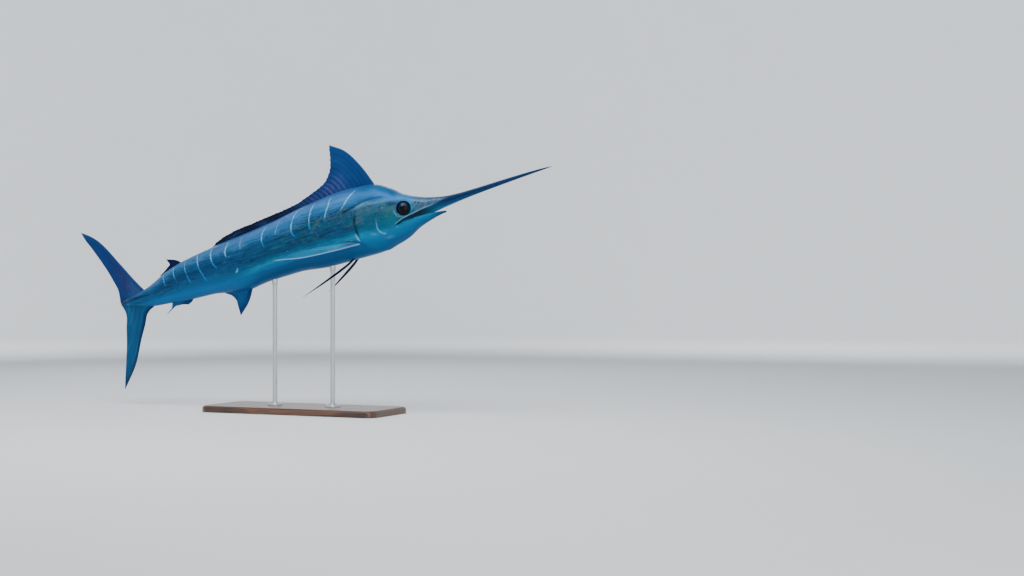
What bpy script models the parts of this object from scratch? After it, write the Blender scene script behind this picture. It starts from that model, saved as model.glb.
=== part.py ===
# Blue marlin, life size, in a swimming pose on a plain two-rod display stand.
# World: metres, +Z up, the fish heads along +X and its right side faces -Y.
# The origin is the centre of the base's underside.
# The fish is laid out straight first and posed afterwards. In that layout a point is
# (s, y, z) in fork lengths: s runs from the fork of the tail (0) to the tip of the
# lower jaw (1), y to the fish's left, z up from the line through the fork and the bill.
import math

import bmesh
import bpy
import numpy as np

# Driving dimensions
FORK_LENGTH = 2.40
MID_BODY_HEIGHT = 0.95
PITCH_UP = math.radians(14.8)
LEAN_RIGHT = math.radians(5.8)
TAIL_SWING = math.radians(7.0)
HEAD_SWING = math.radians(3.0)
FACE_GAP = 0.0004

# Stations that divide the body, in fork lengths
MID_STATION = 0.50
NECK_STATION = 0.82
STALK_END = 0.020
STALK_FRONT = 0.30
TORSO_SPLIT = 0.56
MOUTH_CORNER = 0.872
BILL_START = 0.955
JAW_TIP = 1.000
BILL_TIP = 1.288

# Side outline of the trunk and head: (station, height)
BACK_LINE = (
    (0.020, 0.0045), (0.060, 0.0100), (0.100, 0.0160), (0.138, 0.0265), (0.180, 0.041),
    (0.240, 0.054), (0.340, 0.0645), (0.440, 0.070), (0.540, 0.0785), (0.640, 0.0905),
    (0.740, 0.097), (0.796, 0.094), (0.838, 0.088), (0.872, 0.069), (0.900, 0.047),
    (0.930, 0.0315), (0.968, 0.018), (1.020, 0.008), (1.060, 0.0058), (1.110, 0.0052),
    (1.160, 0.0051), (1.205, 0.0047), (1.244, 0.0037), (1.272, 0.0022), (1.288, 0.0004),
)
BELLY_LINE = (
    (0.020, -0.0075), (0.060, -0.0200), (0.100, -0.032), (0.170, -0.040), (0.246, -0.048),
    (0.310, -0.052), (0.360, -0.060), (0.420, -0.067), (0.490, -0.0625), (0.571, -0.063),
    (0.657, -0.073), (0.740, -0.0755), (0.799, -0.077), (0.858, -0.069), (0.888, -0.061),
    (0.922, -0.046), (0.952, -0.0375), (0.981, -0.0315), (1.000, -0.0288),
)
HALF_WIDTH = (
    (0.020, 0.0038), (0.060, 0.0105), (0.100, 0.0145), (0.160, 0.0195), (0.240, 0.0265),
    (0.340, 0.0355), (0.440, 0.0435), (0.540, 0.0485), (0.640, 0.0515), (0.740, 0.0525),
    (0.800, 0.0505), (0.840, 0.0460), (0.872, 0.0400), (0.906, 0.0325), (0.940, 0.0245),
    (0.970, 0.0185), (1.000, 0.0145), (1.050, 0.0102), (1.100, 0.0076), (1.150, 0.0060),
    (1.205, 0.0043), (1.244, 0.0031), (1.272, 0.0019), (1.288, 0.0004),
)
# Underside of the upper jaw and bill, and the upper edge of the lower jaw
MOUTH_ROOF = (
    (0.872, -0.0262), (0.900, -0.0222), (0.930, -0.0200), (0.955, -0.0192), (0.978, -0.0180),
    (1.005, -0.0160), (1.030, -0.0135), (1.050, -0.0117), (1.100, -0.0084), (1.150, -0.0060),
    (1.205, -0.0036), (1.244, -0.0022), (1.272, -0.0012), (1.288, -0.0004),
)
JAW_EDGE = (
    (0.872, -0.0265), (0.900, -0.0228), (0.930, -0.0207), (0.957, -0.0202), (0.984, -0.0226),
    (1.000, -0.0252),
)
JAW_NARROWING = ((0.872, 1.0), (0.900, 0.95), (0.930, 0.84), (0.960, 0.64), (0.985, 0.38), (1.0, 0.12))
# Where the gill opening crosses the side: (angle round the section in degrees, station)
GILL_EDGE = (
    (-90, 0.835), (-70, 0.808), (-51, 0.789), (-38, 0.782), (-20, 0.777), (-4, 0.779),
    (14, 0.786), (40, 0.806), (65, 0.832), (90, 0.850),
)
GILL_CENTRE = 0.800
GILL_COVER_STEP = 0.0045
WIDEST_FRACTION = 0.55
UPPER_POWER = 2.15
LOWER_POWER = 2.0
UPPER_POINTS = 14
LOWER_POINTS = 7
FLAT_UNDERSIDE = 0.12
PALATE_ARCH = 0.003
PALATE_FADE = 0.05
LIP_SWELL = 0.0022
LIP_RISE = 0.015
JAW_SWELL_LENGTH = 0.06
# The gill cover's step fades out towards the back and the throat: (angle, over how many degrees)
COVER_TOP_FADE = (75, 50)
COVER_THROAT_FADE = (-96, 20)
COVER_LENGTH = 0.6

# Eye
EYE_STATION = 0.906
EYE_HEIGHT = 0.009
EYE_RADIUS = 0.041
EYE_DEPTH = 0.024
EYE_SUNK = 0.015
ORBIT_RADIUS = 0.043
ORBIT_TUBE = 0.0048

# Nostrils: (station, height) of each, then their size in metres
NOSTRILS = ((0.9355, 0.0145), (0.9420, 0.0125))
NOSTRIL_RADIUS = 0.0045
NOSTRIL_DEPTH = 0.004

# Keels on the tail stalk: (height over the widest line, rise towards the rear) of each,
# and their depth and thickness in metres
KEEL_START = 0.030
KEEL_LENGTH = 0.075
KEEL_HEIGHTS = ((0.0070, -0.0025), (-0.0110, 0.0040))
KEEL_SEAT = 0.92
KEEL_OUT = 0.013
KEEL_THICKNESS = 0.005

# Fins: the line along the root, the leading edge and the free margin. On the middle plane
# a point is (station, height), and on the left paired fins (station, left, height).
DORSAL = {
    "root": ((0.840, 0.078), (0.740, 0.086), (0.600, 0.074), (0.460, 0.062), (0.345, 0.054)),
    "leading": ((0.840, 0.078), (0.8145, 0.141), (0.783, 0.190), (0.745, 0.217)),
    "margin": (
        (0.745, 0.217), (0.734, 0.169), (0.721, 0.147), (0.700, 0.1290), (0.659, 0.1155),
        (0.610, 0.1035), (0.563, 0.0985), (0.500, 0.0940), (0.410, 0.0872), (0.360, 0.0762),
        (0.332, 0.063)),
}
DORSAL_SPLIT = 0.36
DORSAL_SPLIT_GAP = 0.0011
UPPER_CAUDAL = {
    "root": ((0.102, 0.004), (0.070, 0.001), (0.036, 0.0002)),
    "leading": (
        (0.102, 0.004), (0.080, 0.035), (0.039, 0.101), (-0.008, 0.172), (-0.035, 0.1965),
        (-0.067, 0.2160)),
    "margin": (
        (-0.067, 0.2160), (-0.059, 0.1950), (-0.042, 0.163), (-0.022, 0.122), (-0.002, 0.070),
        (0.0075, 0.033), (0.004, 0.0002)),
}
LOWER_CAUDAL = {
    "root": ((0.118, -0.016), (0.070, -0.003), (0.036, -0.0002)),
    "leading": (
        (0.118, -0.016), (0.112, -0.0345), (0.097, -0.0395), (0.081, -0.0500), (0.067, -0.0715),
        (0.043, -0.103), (-0.003, -0.167), (-0.067, -0.224)),
    "margin": (
        (-0.067, -0.224), (-0.043, -0.172), (-0.020, -0.122), (-0.001, -0.070), (0.012, -0.030),
        (0.004, -0.0002)),
}
SECOND_DORSAL = {
    "root": ((0.245, 0.045), (0.205, 0.036), (0.175, 0.028)),
    "leading": ((0.245, 0.045), (0.221, 0.0635), (0.191, 0.0735)),
    "margin": ((0.191, 0.0735), (0.198, 0.058), (0.188, 0.0515), (0.158, 0.037)),
}
FIRST_ANAL = {
    "root": ((0.432, -0.056), (0.390, -0.052), (0.350, -0.046)),
    "leading": ((0.432, -0.056), (0.405, -0.095), (0.368, -0.125)),
    "margin": ((0.368, -0.125), (0.368, -0.088), (0.358, -0.069), (0.340, -0.058)),
}
SECOND_ANAL = {
    "root": ((0.246, -0.038), (0.210, -0.034), (0.178, -0.030)),
    "leading": ((0.246, -0.038), (0.238, -0.051), (0.222, -0.0575)),
    "margin": ((0.222, -0.0575), (0.202, -0.0525), (0.178, -0.0515), (0.144, -0.063)),
}
PECTORAL = {
    "root": ((0.774, 0.042, -0.044), (0.760, 0.042, -0.038), (0.742, 0.042, -0.032)),
    "leading": (
        (0.774, 0.042, -0.044), (0.735, 0.066, -0.044), (0.655, 0.098, -0.040), (0.574, 0.118, -0.025)),
    "margin": (
        (0.574, 0.118, -0.025), (0.615, 0.092, -0.022), (0.660, 0.072, -0.022), (0.705, 0.055, -0.026),
        (0.728, 0.048, -0.030)),
    "chord_way": (0.0, -0.87, 0.50),
}
PELVIC = {
    "root": ((0.748, 0.007, -0.066), (0.742, 0.008, -0.066), (0.735, 0.009, -0.066)),
    "leading": (
        (0.748, 0.007, -0.066), (0.716, 0.019, -0.0855), (0.657, 0.043, -0.1095), (0.593, 0.069, -0.131)),
    "margin": (
        (0.593, 0.069, -0.131), (0.655, 0.042, -0.1050), (0.709, 0.019, -0.0820), (0.729, 0.012, -0.0735)),
    "chord_way": (-0.30, -0.20, 0.93),
}
# Blade sizes in metres: half thickness at the root, half thickness at the margin, height of a ray
TAIL_BLADE = (0.010, 0.0009, 0.0012)
LOBE_BLADE = (0.007, 0.0008, 0.0010)
RIDGE_BLADE = (0.005, 0.0008, 0.0010)
SMALL_BLADE = (0.005, 0.0007, 0.0008)
PECTORAL_BLADE = (0.006, 0.0008, 0.0009)
PELVIC_BLADE = (0.0035, 0.0008, 0.0005)
# Node name, outline, rays, rows along a ray, blade, and the stretch of the outline it covers
MEDIAN_FINS = (
    ("dorsal_fin_front", DORSAL, 15, 8, LOBE_BLADE, (0.0, DORSAL_SPLIT - DORSAL_SPLIT_GAP)),
    ("dorsal_fin_rear", DORSAL, 24, 3, RIDGE_BLADE, (DORSAL_SPLIT, 1.0)),
    ("second_dorsal_fin", SECOND_DORSAL, 6, 4, SMALL_BLADE, (0.0, 1.0)),
    ("anal_fin_first", FIRST_ANAL, 11, 5, SMALL_BLADE, (0.0, 1.0)),
    ("anal_fin_second", SECOND_ANAL, 6, 4, SMALL_BLADE, (0.0, 1.0)),
    ("caudal_fin_upper", UPPER_CAUDAL, 13, 7, TAIL_BLADE, (0.0, 1.0)),
    ("caudal_fin_lower", LOWER_CAUDAL, 13, 10, TAIL_BLADE, (0.0, 1.0)),
)
PAIRED_FINS = (
    ("pectoral_fin", PECTORAL, 11, 7, PECTORAL_BLADE),
    ("pelvic_fin", PELVIC, 3, 12, PELVIC_BLADE),
)

# Stand
BASE_LENGTH = 1.20
BASE_WIDTH = 0.46
BASE_THICKNESS = 0.04
BASE_CORNER = 0.06
BASE_CHAMFER = 0.006
ROD_RADIUS = 0.014
ROD_FOOT_RADIUS = 0.045
ROD_FOOT_HEIGHT = 0.012
ROD_FOOT_CHAMFER = 0.0036
ROD_SUNK = 0.03
ROD_STATIONS = {"front": 0.665, "rear": 0.495}


def clear_scene():
    for old_object in list(bpy.data.objects):
        bpy.data.objects.remove(old_object, do_unlink=True)


# Smooth curves through a few named points

def smooth(table, at):
    """Value at one or many places of a monotone cubic curve through (place, value) pairs."""
    places, values = np.array(table, dtype=float).T
    steps = np.diff(places)
    rises = np.diff(values) / steps
    slopes = np.empty_like(values)
    slopes[0], slopes[-1] = rises[0], rises[-1]
    before, after = rises[:-1], rises[1:]
    weight_before = steps[:-1] + 2 * steps[1:]
    weight_after = 2 * steps[:-1] + steps[1:]
    same_way = before * after > 0
    safe_before = np.where(same_way, before, 1.0)
    safe_after = np.where(same_way, after, 1.0)
    mean = (weight_before + weight_after) / (weight_before / safe_before + weight_after / safe_after)
    slopes[1:-1] = np.where(same_way, mean, 0.0)
    at = np.clip(np.asarray(at, dtype=float), places[0], places[-1])
    span = np.clip(np.searchsorted(places, at) - 1, 0, len(steps) - 1)
    width = steps[span]
    t = (at - places[span]) / width
    return (
        values[span] * (1 + 2 * t) * (1 - t) ** 2
        + values[span + 1] * t * t * (3 - 2 * t)
        + width * (slopes[span] * t * (1 - t) ** 2 + slopes[span + 1] * t * t * (t - 1))
    )


def path(points, at):
    """Points at fractions 0 to 1 of the way along a smooth line through 3-D points."""
    points = np.array(points, dtype=float)
    reach = np.concatenate([[0.0], np.cumsum(np.linalg.norm(np.diff(points, axis=0), axis=1))])
    reach /= reach[-1]
    return np.stack([smooth(np.stack([reach, points[:, axis]], axis=1), at) for axis in range(3)], axis=-1)


def ease(fraction):
    fraction = np.clip(fraction, 0.0, 1.0)
    return fraction * fraction * (3 - 2 * fraction)


# The pose: a gentle C-bend, then lean, pitch and height

def heading(s):
    tail = np.clip((MID_STATION - s) / MID_STATION, 0.0, 2.0)
    head = ease((s - MID_STATION) / (NECK_STATION - MID_STATION))
    return HEAD_SWING * head - TAIL_SWING * tail ** 2


def running_total(values, step):
    return np.concatenate([[0.0], np.cumsum((values[1:] + values[:-1]) / 2 * step)])


SPINE_S = np.linspace(-0.3, 1.5, 1801)
SPINE_TURN = heading(SPINE_S)
SPINE_STEP = SPINE_S[1] - SPINE_S[0]
SPINE_ALONG = running_total(np.cos(SPINE_TURN), SPINE_STEP)
SPINE_ACROSS = running_total(np.sin(SPINE_TURN), SPINE_STEP)
SPINE_ALONG -= np.interp(MID_STATION, SPINE_S, SPINE_ALONG)
SPINE_ACROSS -= np.interp(MID_STATION, SPINE_S, SPINE_ACROSS)

FORWARD = np.array([math.cos(PITCH_UP), 0.0, math.sin(PITCH_UP)])
LEVEL_UP = np.array([-math.sin(PITCH_UP), 0.0, math.cos(PITCH_UP)])
LEVEL_LEFT = np.array([0.0, 1.0, 0.0])
UP = LEVEL_UP * math.cos(LEAN_RIGHT) - LEVEL_LEFT * math.sin(LEAN_RIGHT)
LEFT = LEVEL_LEFT * math.cos(LEAN_RIGHT) + LEVEL_UP * math.sin(LEAN_RIGHT)


def posed_about_mid_body(points):
    points = np.atleast_2d(points)
    turn = np.interp(points[:, 0], SPINE_S, SPINE_TURN)
    along = np.interp(points[:, 0], SPINE_S, SPINE_ALONG) - np.sin(turn) * points[:, 1]
    across = np.interp(points[:, 0], SPINE_S, SPINE_ACROSS) + np.cos(turn) * points[:, 1]
    world = np.outer(along, FORWARD) + np.outer(across, LEFT) + np.outer(points[:, 2], UP)
    return world * FORK_LENGTH


def belly_point(s):
    return posed_about_mid_body((s, 0.0, smooth(BELLY_LINE, s)))[0]


ROD_TOPS = {end: belly_point(s) for end, s in ROD_STATIONS.items()}
STAND_CENTRE = (ROD_TOPS["front"] + ROD_TOPS["rear"]) / 2
MID_BODY = np.array([-STAND_CENTRE[0], -STAND_CENTRE[1], MID_BODY_HEIGHT])


def posed(points):
    return posed_about_mid_body(points) + MID_BODY


def in_fork_lengths(metres):
    return metres / FORK_LENGTH


# Sections of the body

def section(s, angle, top, bottom, width, widest):
    """Half a cross-section: angle 90 degrees is the back, 0 the widest place, -90 the belly."""
    sine, cosine = np.sin(angle), np.abs(np.cos(angle))
    power = np.where(sine >= 0, 2 / UPPER_POWER, 2 / LOWER_POWER)
    reach = np.where(sine >= 0, top - widest, widest - bottom)
    y = width * cosine ** power
    z = widest + reach * np.sign(sine) * np.abs(sine) ** power
    return np.stack([s + 0 * y, y, z], axis=-1)


def trunk_sizes(s):
    top, bottom = smooth(BACK_LINE, s), smooth(BELLY_LINE, s)
    return top, bottom, smooth(HALF_WIDTH, s), bottom + WIDEST_FRACTION * (top - bottom)


def trunk_half(s, angle):
    return section(s, angle, *trunk_sizes(s))


def swollen(half, amount):
    """Half section pushed outwards in its own plane by an amount in metres."""
    _, _, width, widest = trunk_sizes(half[:, 0])
    reach = np.where(half[:, 2] >= widest, *[
        smooth(BACK_LINE, half[:, 0]) - widest, widest - smooth(BELLY_LINE, half[:, 0])])
    across = half[:, 1] / width ** 2
    upward = (half[:, 2] - widest) / reach ** 2
    length = np.hypot(across, upward)
    pushed = half.copy()
    pushed[:, 1] += in_fork_lengths(amount) * across / length
    pushed[:, 2] += in_fork_lengths(amount) * upward / length
    return pushed


def both_sides(half):
    """Closed ring from a half outline that runs from the upper to the lower middle point."""
    return np.vstack([half, half[-2:0:-1] * (1, -1, 1)])


LIP_ANGLE = math.radians(-27.0)
EVEN_ANGLES = np.concatenate([
    np.linspace(math.pi / 2, LIP_ANGLE, UPPER_POINTS),
    np.linspace(LIP_ANGLE, -math.pi / 2, LOWER_POINTS + 1)[1:],
])


def lower_angle(height, bottom, widest):
    """Angle at which the lower half of a section passes a height."""
    share = np.clip((widest - height) / (widest - bottom), 0.0, 1.0)
    return -np.arcsin(share ** (LOWER_POWER / 2))


def head_angles(fraction):
    """Angles of a head row: even at the gill opening, on the mouth line at its corner."""
    _, bottom, _, widest = trunk_sizes(MOUTH_CORNER)
    corner = float(lower_angle(smooth(MOUTH_ROOF, MOUTH_CORNER), bottom, widest))
    turn = LIP_ANGLE + (corner - LIP_ANGLE) * fraction
    return np.concatenate([
        np.linspace(math.pi / 2, turn, UPPER_POINTS),
        np.linspace(turn, -math.pi / 2, LOWER_POINTS + 1)[1:],
    ])


def upper_jaw_sizes(s):
    """Sizes of the section ahead of the mouth's corner, whose lower part fades into the bill."""
    top, width, roof = smooth(BACK_LINE, s), smooth(HALF_WIDTH, s), smooth(MOUTH_ROOF, s)
    head_bottom = smooth(BELLY_LINE, s)
    fade = ease((s - MOUTH_CORNER) / (JAW_TIP - MOUTH_CORNER))
    head_widest = head_bottom + WIDEST_FRACTION * (top - head_bottom)
    bill_widest = roof + WIDEST_FRACTION * (top - roof)
    widest = head_widest + (bill_widest - head_widest) * fade
    bill_bottom = roof - FLAT_UNDERSIDE * (widest - roof)
    bottom = head_bottom + (bill_bottom - head_bottom) * fade
    return top, bottom, width, widest


def upper_jaw_half(s):
    top, bottom, width, widest = upper_jaw_sizes(s)
    roof = smooth(MOUTH_ROOF, s)
    lip = float(lower_angle(roof, bottom, widest))
    outer = section(s, np.linspace(math.pi / 2, lip, UPPER_POINTS), top, bottom, width, widest)
    palate_left = 1 - ease((s - BILL_START) / PALATE_FADE)
    lip_growth = ease((s - MOUTH_CORNER) / LIP_RISE) * palate_left
    inward = 1 - np.arange(1, LOWER_POINTS + 1) / LOWER_POINTS
    arch = PALATE_ARCH * palate_left
    palate = np.stack([
        s + 0 * inward, outer[-1, 1] * inward, roof + arch * (1 - inward ** 2)], axis=-1)
    outer[-1, 1] += in_fork_lengths(LIP_SWELL) * lip_growth
    outer[-2, 1] += in_fork_lengths(LIP_SWELL) * lip_growth * 0.6
    return np.vstack([outer, palate])


def lower_jaw_half(s):
    """Half outline of the lower jaw, from the middle of the mouth's floor to the chin."""
    _, bottom, width, head_widest = trunk_sizes(s)
    edge = smooth(JAW_EDGE, s)
    widest = head_widest + (edge - head_widest) * ease((s - MOUTH_CORNER) / JAW_SWELL_LENGTH)
    width = width * smooth(JAW_NARROWING, s)
    start = float(lower_angle(edge, bottom, widest))
    outer = section(s, np.linspace(start, -math.pi / 2, LOWER_POINTS + 3), 0.0, bottom, width, widest)
    outward = np.linspace(0.0, 1.0, 5)[:-1]
    floor = np.stack([s + 0 * outward, outer[0, 1] * outward, edge + 0 * outward], axis=-1)
    return np.vstack([floor, outer])


# Mesh building

def add_object(name, bm, material, smooth_angle=40.0):
    bmesh.ops.remove_doubles(bm, verts=bm.verts, dist=1e-6)
    bmesh.ops.recalc_face_normals(bm, faces=bm.faces)
    mesh = bpy.data.meshes.new(name)
    bm.to_mesh(mesh)
    bm.free()
    mesh.shade_smooth()
    mesh.set_sharp_from_angle(angle=math.radians(smooth_angle))
    solid = bpy.data.objects.new(name, mesh)
    bpy.context.scene.collection.objects.link(solid)
    if material:
        mesh.materials.append(material)
    return solid


def loft(name, rings, material=None, first_tip=None, last_tip=None, place=posed):
    """Closed body through rings of equal length, each end closed by a fan to a middle point."""
    bm = bmesh.new()
    rows = [[bm.verts.new(co) for co in place(ring)] for ring in rings]
    count = len(rows[0])
    for near, far in zip(rows, rows[1:]):
        for k in range(count):
            n = (k + 1) % count
            bm.faces.new((near[k], near[n], far[n]))
            bm.faces.new((near[k], far[n], far[k]))
    ends = ((rows[0], rings[0], first_tip), (rows[-1], rings[-1], last_tip))
    for row, ring, tip in ends:
        centre = np.mean(ring, axis=0) if tip is None else np.array(tip, dtype=float)
        middle = bm.verts.new(place(centre[None, :])[0])
        for k in range(count):
            bm.faces.new((row[k], middle, row[(k + 1) % count]))
    return add_object(name, bm, material)


def grow(solid, amount):
    """Push every vertex of a mesh outwards along its normal."""
    bm = bmesh.new()
    bm.from_mesh(solid.data)
    bm.normal_update()
    for vert in bm.verts:
        vert.co += vert.normal * amount
    bm.to_mesh(solid.data)
    bm.free()


def keep_largest(solid):
    """Keep only the largest closed surface of a mesh."""
    bm = bmesh.new()
    bm.from_mesh(solid.data)
    unseen = set(bm.verts)
    shells = []
    while unseen:
        stack = [unseen.pop()]
        shell = set(stack)
        while stack:
            for edge in stack.pop().link_edges:
                for vert in edge.verts:
                    if vert in unseen:
                        unseen.discard(vert)
                        shell.add(vert)
                        stack.append(vert)
        shells.append(shell)
    shells.sort(key=lambda shell: sum(face.calc_area() for vert in shell for face in vert.link_faces))
    scraps = [vert for shell in shells[:-1] for vert in shell]
    bmesh.ops.delete(bm, geom=scraps, context="VERTS")
    bmesh.ops.triangulate(bm, faces=bm.faces)
    bmesh.ops.remove_doubles(bm, verts=bm.verts, dist=1e-6)
    bm.to_mesh(solid.data)
    bm.free()


def combine(solid, others, operation, remove=True, solver="EXACT"):
    """Apply one Boolean with a collection of closed meshes and keep the largest surface."""
    group = bpy.data.collections.new("tools")
    bpy.context.scene.collection.children.link(group)
    for other in others:
        group.objects.link(other)
    modifier = solid.modifiers.new("join", "BOOLEAN")
    modifier.operation = operation
    modifier.operand_type = "COLLECTION"
    modifier.collection = group
    modifier.solver = solver
    evaluated = solid.evaluated_get(bpy.context.evaluated_depsgraph_get())
    old_mesh = solid.data
    solid.data = bpy.data.meshes.new_from_object(evaluated)
    solid.modifiers.clear()
    bpy.data.meshes.remove(old_mesh)
    keep_largest(solid)
    bpy.data.collections.remove(group)
    if remove:
        for other in others:
            bpy.data.objects.remove(other, do_unlink=True)


def make_material(name, colour, roughness, metallic=0.0):
    material = bpy.data.materials.new(name)
    material.use_nodes = True
    shader = material.node_tree.nodes["Principled BSDF"]
    shader.inputs["Base Color"].default_value = (*colour, 1.0)
    shader.inputs["Roughness"].default_value = roughness
    shader.inputs["Metallic"].default_value = metallic
    return material


# Body

def trunk_rows(start, end, count):
    stations = np.linspace(start, end, count)
    return [both_sides(trunk_half(s + 0 * EVEN_ANGLES, EVEN_ANGLES)) for s in stations]


def gill_stations(angles):
    return smooth(GILL_EDGE, np.degrees(angles))


def front_torso_rows(count):
    """Rows that turn from the flat joint at mid torso to the curved gill opening."""
    rear = TORSO_SPLIT + in_fork_lengths(FACE_GAP)
    gill = gill_stations(EVEN_ANGLES) - in_fork_lengths(FACE_GAP)
    fractions = np.linspace(0.0, 1.0, count)
    return [both_sides(trunk_half(rear + (gill - rear) * f, EVEN_ANGLES)) for f in fractions]


def head_row(fraction, cover_step):
    angles = head_angles(fraction)
    gill = gill_stations(angles)
    half = trunk_half(gill + (MOUTH_CORNER - gill) * fraction, angles)
    degrees = np.degrees(angles)
    top, top_over = COVER_TOP_FADE
    throat, throat_over = COVER_THROAT_FADE
    on_side = ease((top - degrees) / top_over) * ease((degrees - throat) / throat_over)
    amount = cover_step * (1 - ease(fraction / COVER_LENGTH)) * on_side
    return both_sides(swollen(half, amount))


def skin_width(s, z):
    """Half width of the head's side at a station and height ahead of the mouth's corner."""
    top, bottom, width, widest = upper_jaw_sizes(s)
    above = z >= widest
    reach = np.where(above, top - widest, widest - bottom)
    power = np.where(above, UPPER_POWER, LOWER_POWER)
    share = np.clip(np.abs(z - widest) / reach, 0.0, 1.0)
    return width * (1 - share ** power) ** (1 / power)


def skin_frame(s, z, side):
    """World point on the head's skin and the outward unit normal there."""
    nudge = 0.002
    spots = np.array([
        (s + ds, side * skin_width(s + ds, z + dz), z + dz)
        for ds, dz in ((0, 0), (nudge, 0), (-nudge, 0), (0, nudge), (0, -nudge))])
    world = posed(spots)
    normal = np.cross(world[1] - world[2], world[3] - world[4]) * -side
    return world[0], normal / np.linalg.norm(normal)


def facing(direction):
    """Rotation matrix columns for a local Z that points along a direction."""
    direction = direction / np.linalg.norm(direction)
    across = np.cross(LEVEL_UP, direction)
    across /= np.linalg.norm(across)
    return np.stack([across, np.cross(direction, across), direction], axis=1)


def ball(name, centre, direction, radius, depth, material=None, segments=20, rings=10):
    """Flattened ball whose short axis points along a direction."""
    bm = bmesh.new()
    bmesh.ops.create_uvsphere(bm, u_segments=segments, v_segments=rings, radius=1.0)
    turn = facing(direction)
    for vert in bm.verts:
        local = np.array(vert.co) * (radius, radius, depth)
        vert.co = turn @ local + centre
    return add_object(name, bm, material)


def orbit_rim(side):
    """Raised ring of skin round the eye."""
    count, sides = 22, 5
    rings = []
    for turn in np.linspace(0, 2 * math.pi, count, endpoint=False):
        s = EYE_STATION + in_fork_lengths(ORBIT_RADIUS) * math.cos(turn)
        z = EYE_HEIGHT + in_fork_lengths(ORBIT_RADIUS) * math.sin(turn)
        spot, normal = skin_frame(s, z, side)
        centre, _ = skin_frame(EYE_STATION, EYE_HEIGHT, side)
        outward = spot - centre
        outward /= np.linalg.norm(outward)
        angles = np.linspace(0, 2 * math.pi, sides, endpoint=False)
        rings.append([spot + ORBIT_TUBE * (outward * math.cos(a) + normal * math.sin(a)) for a in angles])
    bm = bmesh.new()
    verts = [[bm.verts.new(co) for co in ring] for ring in rings]
    for i in range(count):
        for k in range(sides):
            near, far = verts[i], verts[(i + 1) % count]
            n = (k + 1) % sides
            bm.faces.new((near[k], near[n], far[n]))
            bm.faces.new((near[k], far[n], far[k]))
    return add_object("rim", bm, None)


def make_head(materials):
    fractions = (0.0, 0.10, 0.24, 0.42, 0.62, 0.82, 1.0)
    rows = [head_row(0.0, 0.0)]
    rows += [head_row(f, GILL_COVER_STEP) for f in fractions]
    rows += [both_sides(upper_jaw_half(s)) for s in np.linspace(MOUTH_CORNER, BILL_START, 9)]
    head = loft("head", rows, materials["skin"], first_tip=(GILL_CENTRE, 0.0, 0.01))
    rims = [orbit_rim(side) for side in (-1, 1)]
    combine(head, rims, "UNION")
    sockets = []
    for side, word in ((-1, "right"), (1, "left")):
        spot, normal = skin_frame(EYE_STATION, EYE_HEIGHT, side)
        centre = spot - normal * EYE_SUNK
        ball("eye_" + word, centre, normal, EYE_RADIUS, EYE_DEPTH, materials["eye"])
        sockets.append(ball("socket", centre, normal, EYE_RADIUS + FACE_GAP, EYE_DEPTH + FACE_GAP))
        for s, z in NOSTRILS:
            spot, normal = skin_frame(s, z, side)
            sockets.append(ball("nostril", spot, normal, NOSTRIL_RADIUS, NOSTRIL_DEPTH, segments=8, rings=6))
    combine(head, sockets, "DIFFERENCE")
    return head


def make_bill(materials):
    stations = BILL_START + in_fork_lengths(FACE_GAP) + (BILL_TIP - BILL_START) * np.array(
        [0.0, 0.08, 0.18, 0.30, 0.44, 0.60, 0.76, 0.90, 0.975])
    rows = [both_sides(upper_jaw_half(s)) for s in stations]
    return loft("bill", rows, materials["bill"], last_tip=(BILL_TIP, 0.0, 0.0))


def make_lower_jaw(materials):
    start = MOUTH_CORNER + in_fork_lengths(FACE_GAP)
    stations = start + (JAW_TIP - start) * np.linspace(0.0, 0.975, 10)
    rows = [both_sides(lower_jaw_half(s)) for s in stations]
    tip = (JAW_TIP, 0.0, smooth(JAW_EDGE, JAW_TIP) - 0.001)
    return loft("lower_jaw", rows, materials["skin"], last_tip=tip)


def keel_rows(side, height, rise, extra):
    """One of the paired keels on the side of the tail stalk."""
    rows = []
    for t in np.linspace(0.02, 0.98, 7):
        s = KEEL_START + KEEL_LENGTH * t
        _, _, width, widest = trunk_sizes(s)
        swell = math.sin(math.pi * t) ** 0.7
        out = in_fork_lengths(KEEL_OUT * swell + extra)
        thick = in_fork_lengths(KEEL_THICKNESS * swell + extra)
        centre = np.array([s, side * width * KEEL_SEAT, widest + height + rise * (1 - t)])
        turns = np.linspace(0, 2 * math.pi, 6, endpoint=False)
        rows.append(np.array([centre + (0, out * math.cos(a), thick * math.sin(a)) for a in turns]))
    return rows


def make_keels(extra):
    return [
        loft("keel", keel_rows(side, height, rise, extra))
        for side in (-1, 1) for height, rise in KEEL_HEIGHTS]


# Fins

def median(points):
    """Points (s, z) of a fin that stands on the body's middle plane."""
    return [(s, 0.0, z) for s, z in points]


def blade_normals(leading, chord_way, fractions):
    """Direction across a blade whose chord runs one way, at fractions of the way out."""
    inner = np.clip(fractions, 0.04, 0.96)
    along = path(leading, inner + 0.04) - path(leading, inner - 0.04)
    normal = np.cross(along, chord_way)
    return normal / np.linalg.norm(normal, axis=1)[:, None]


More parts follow.
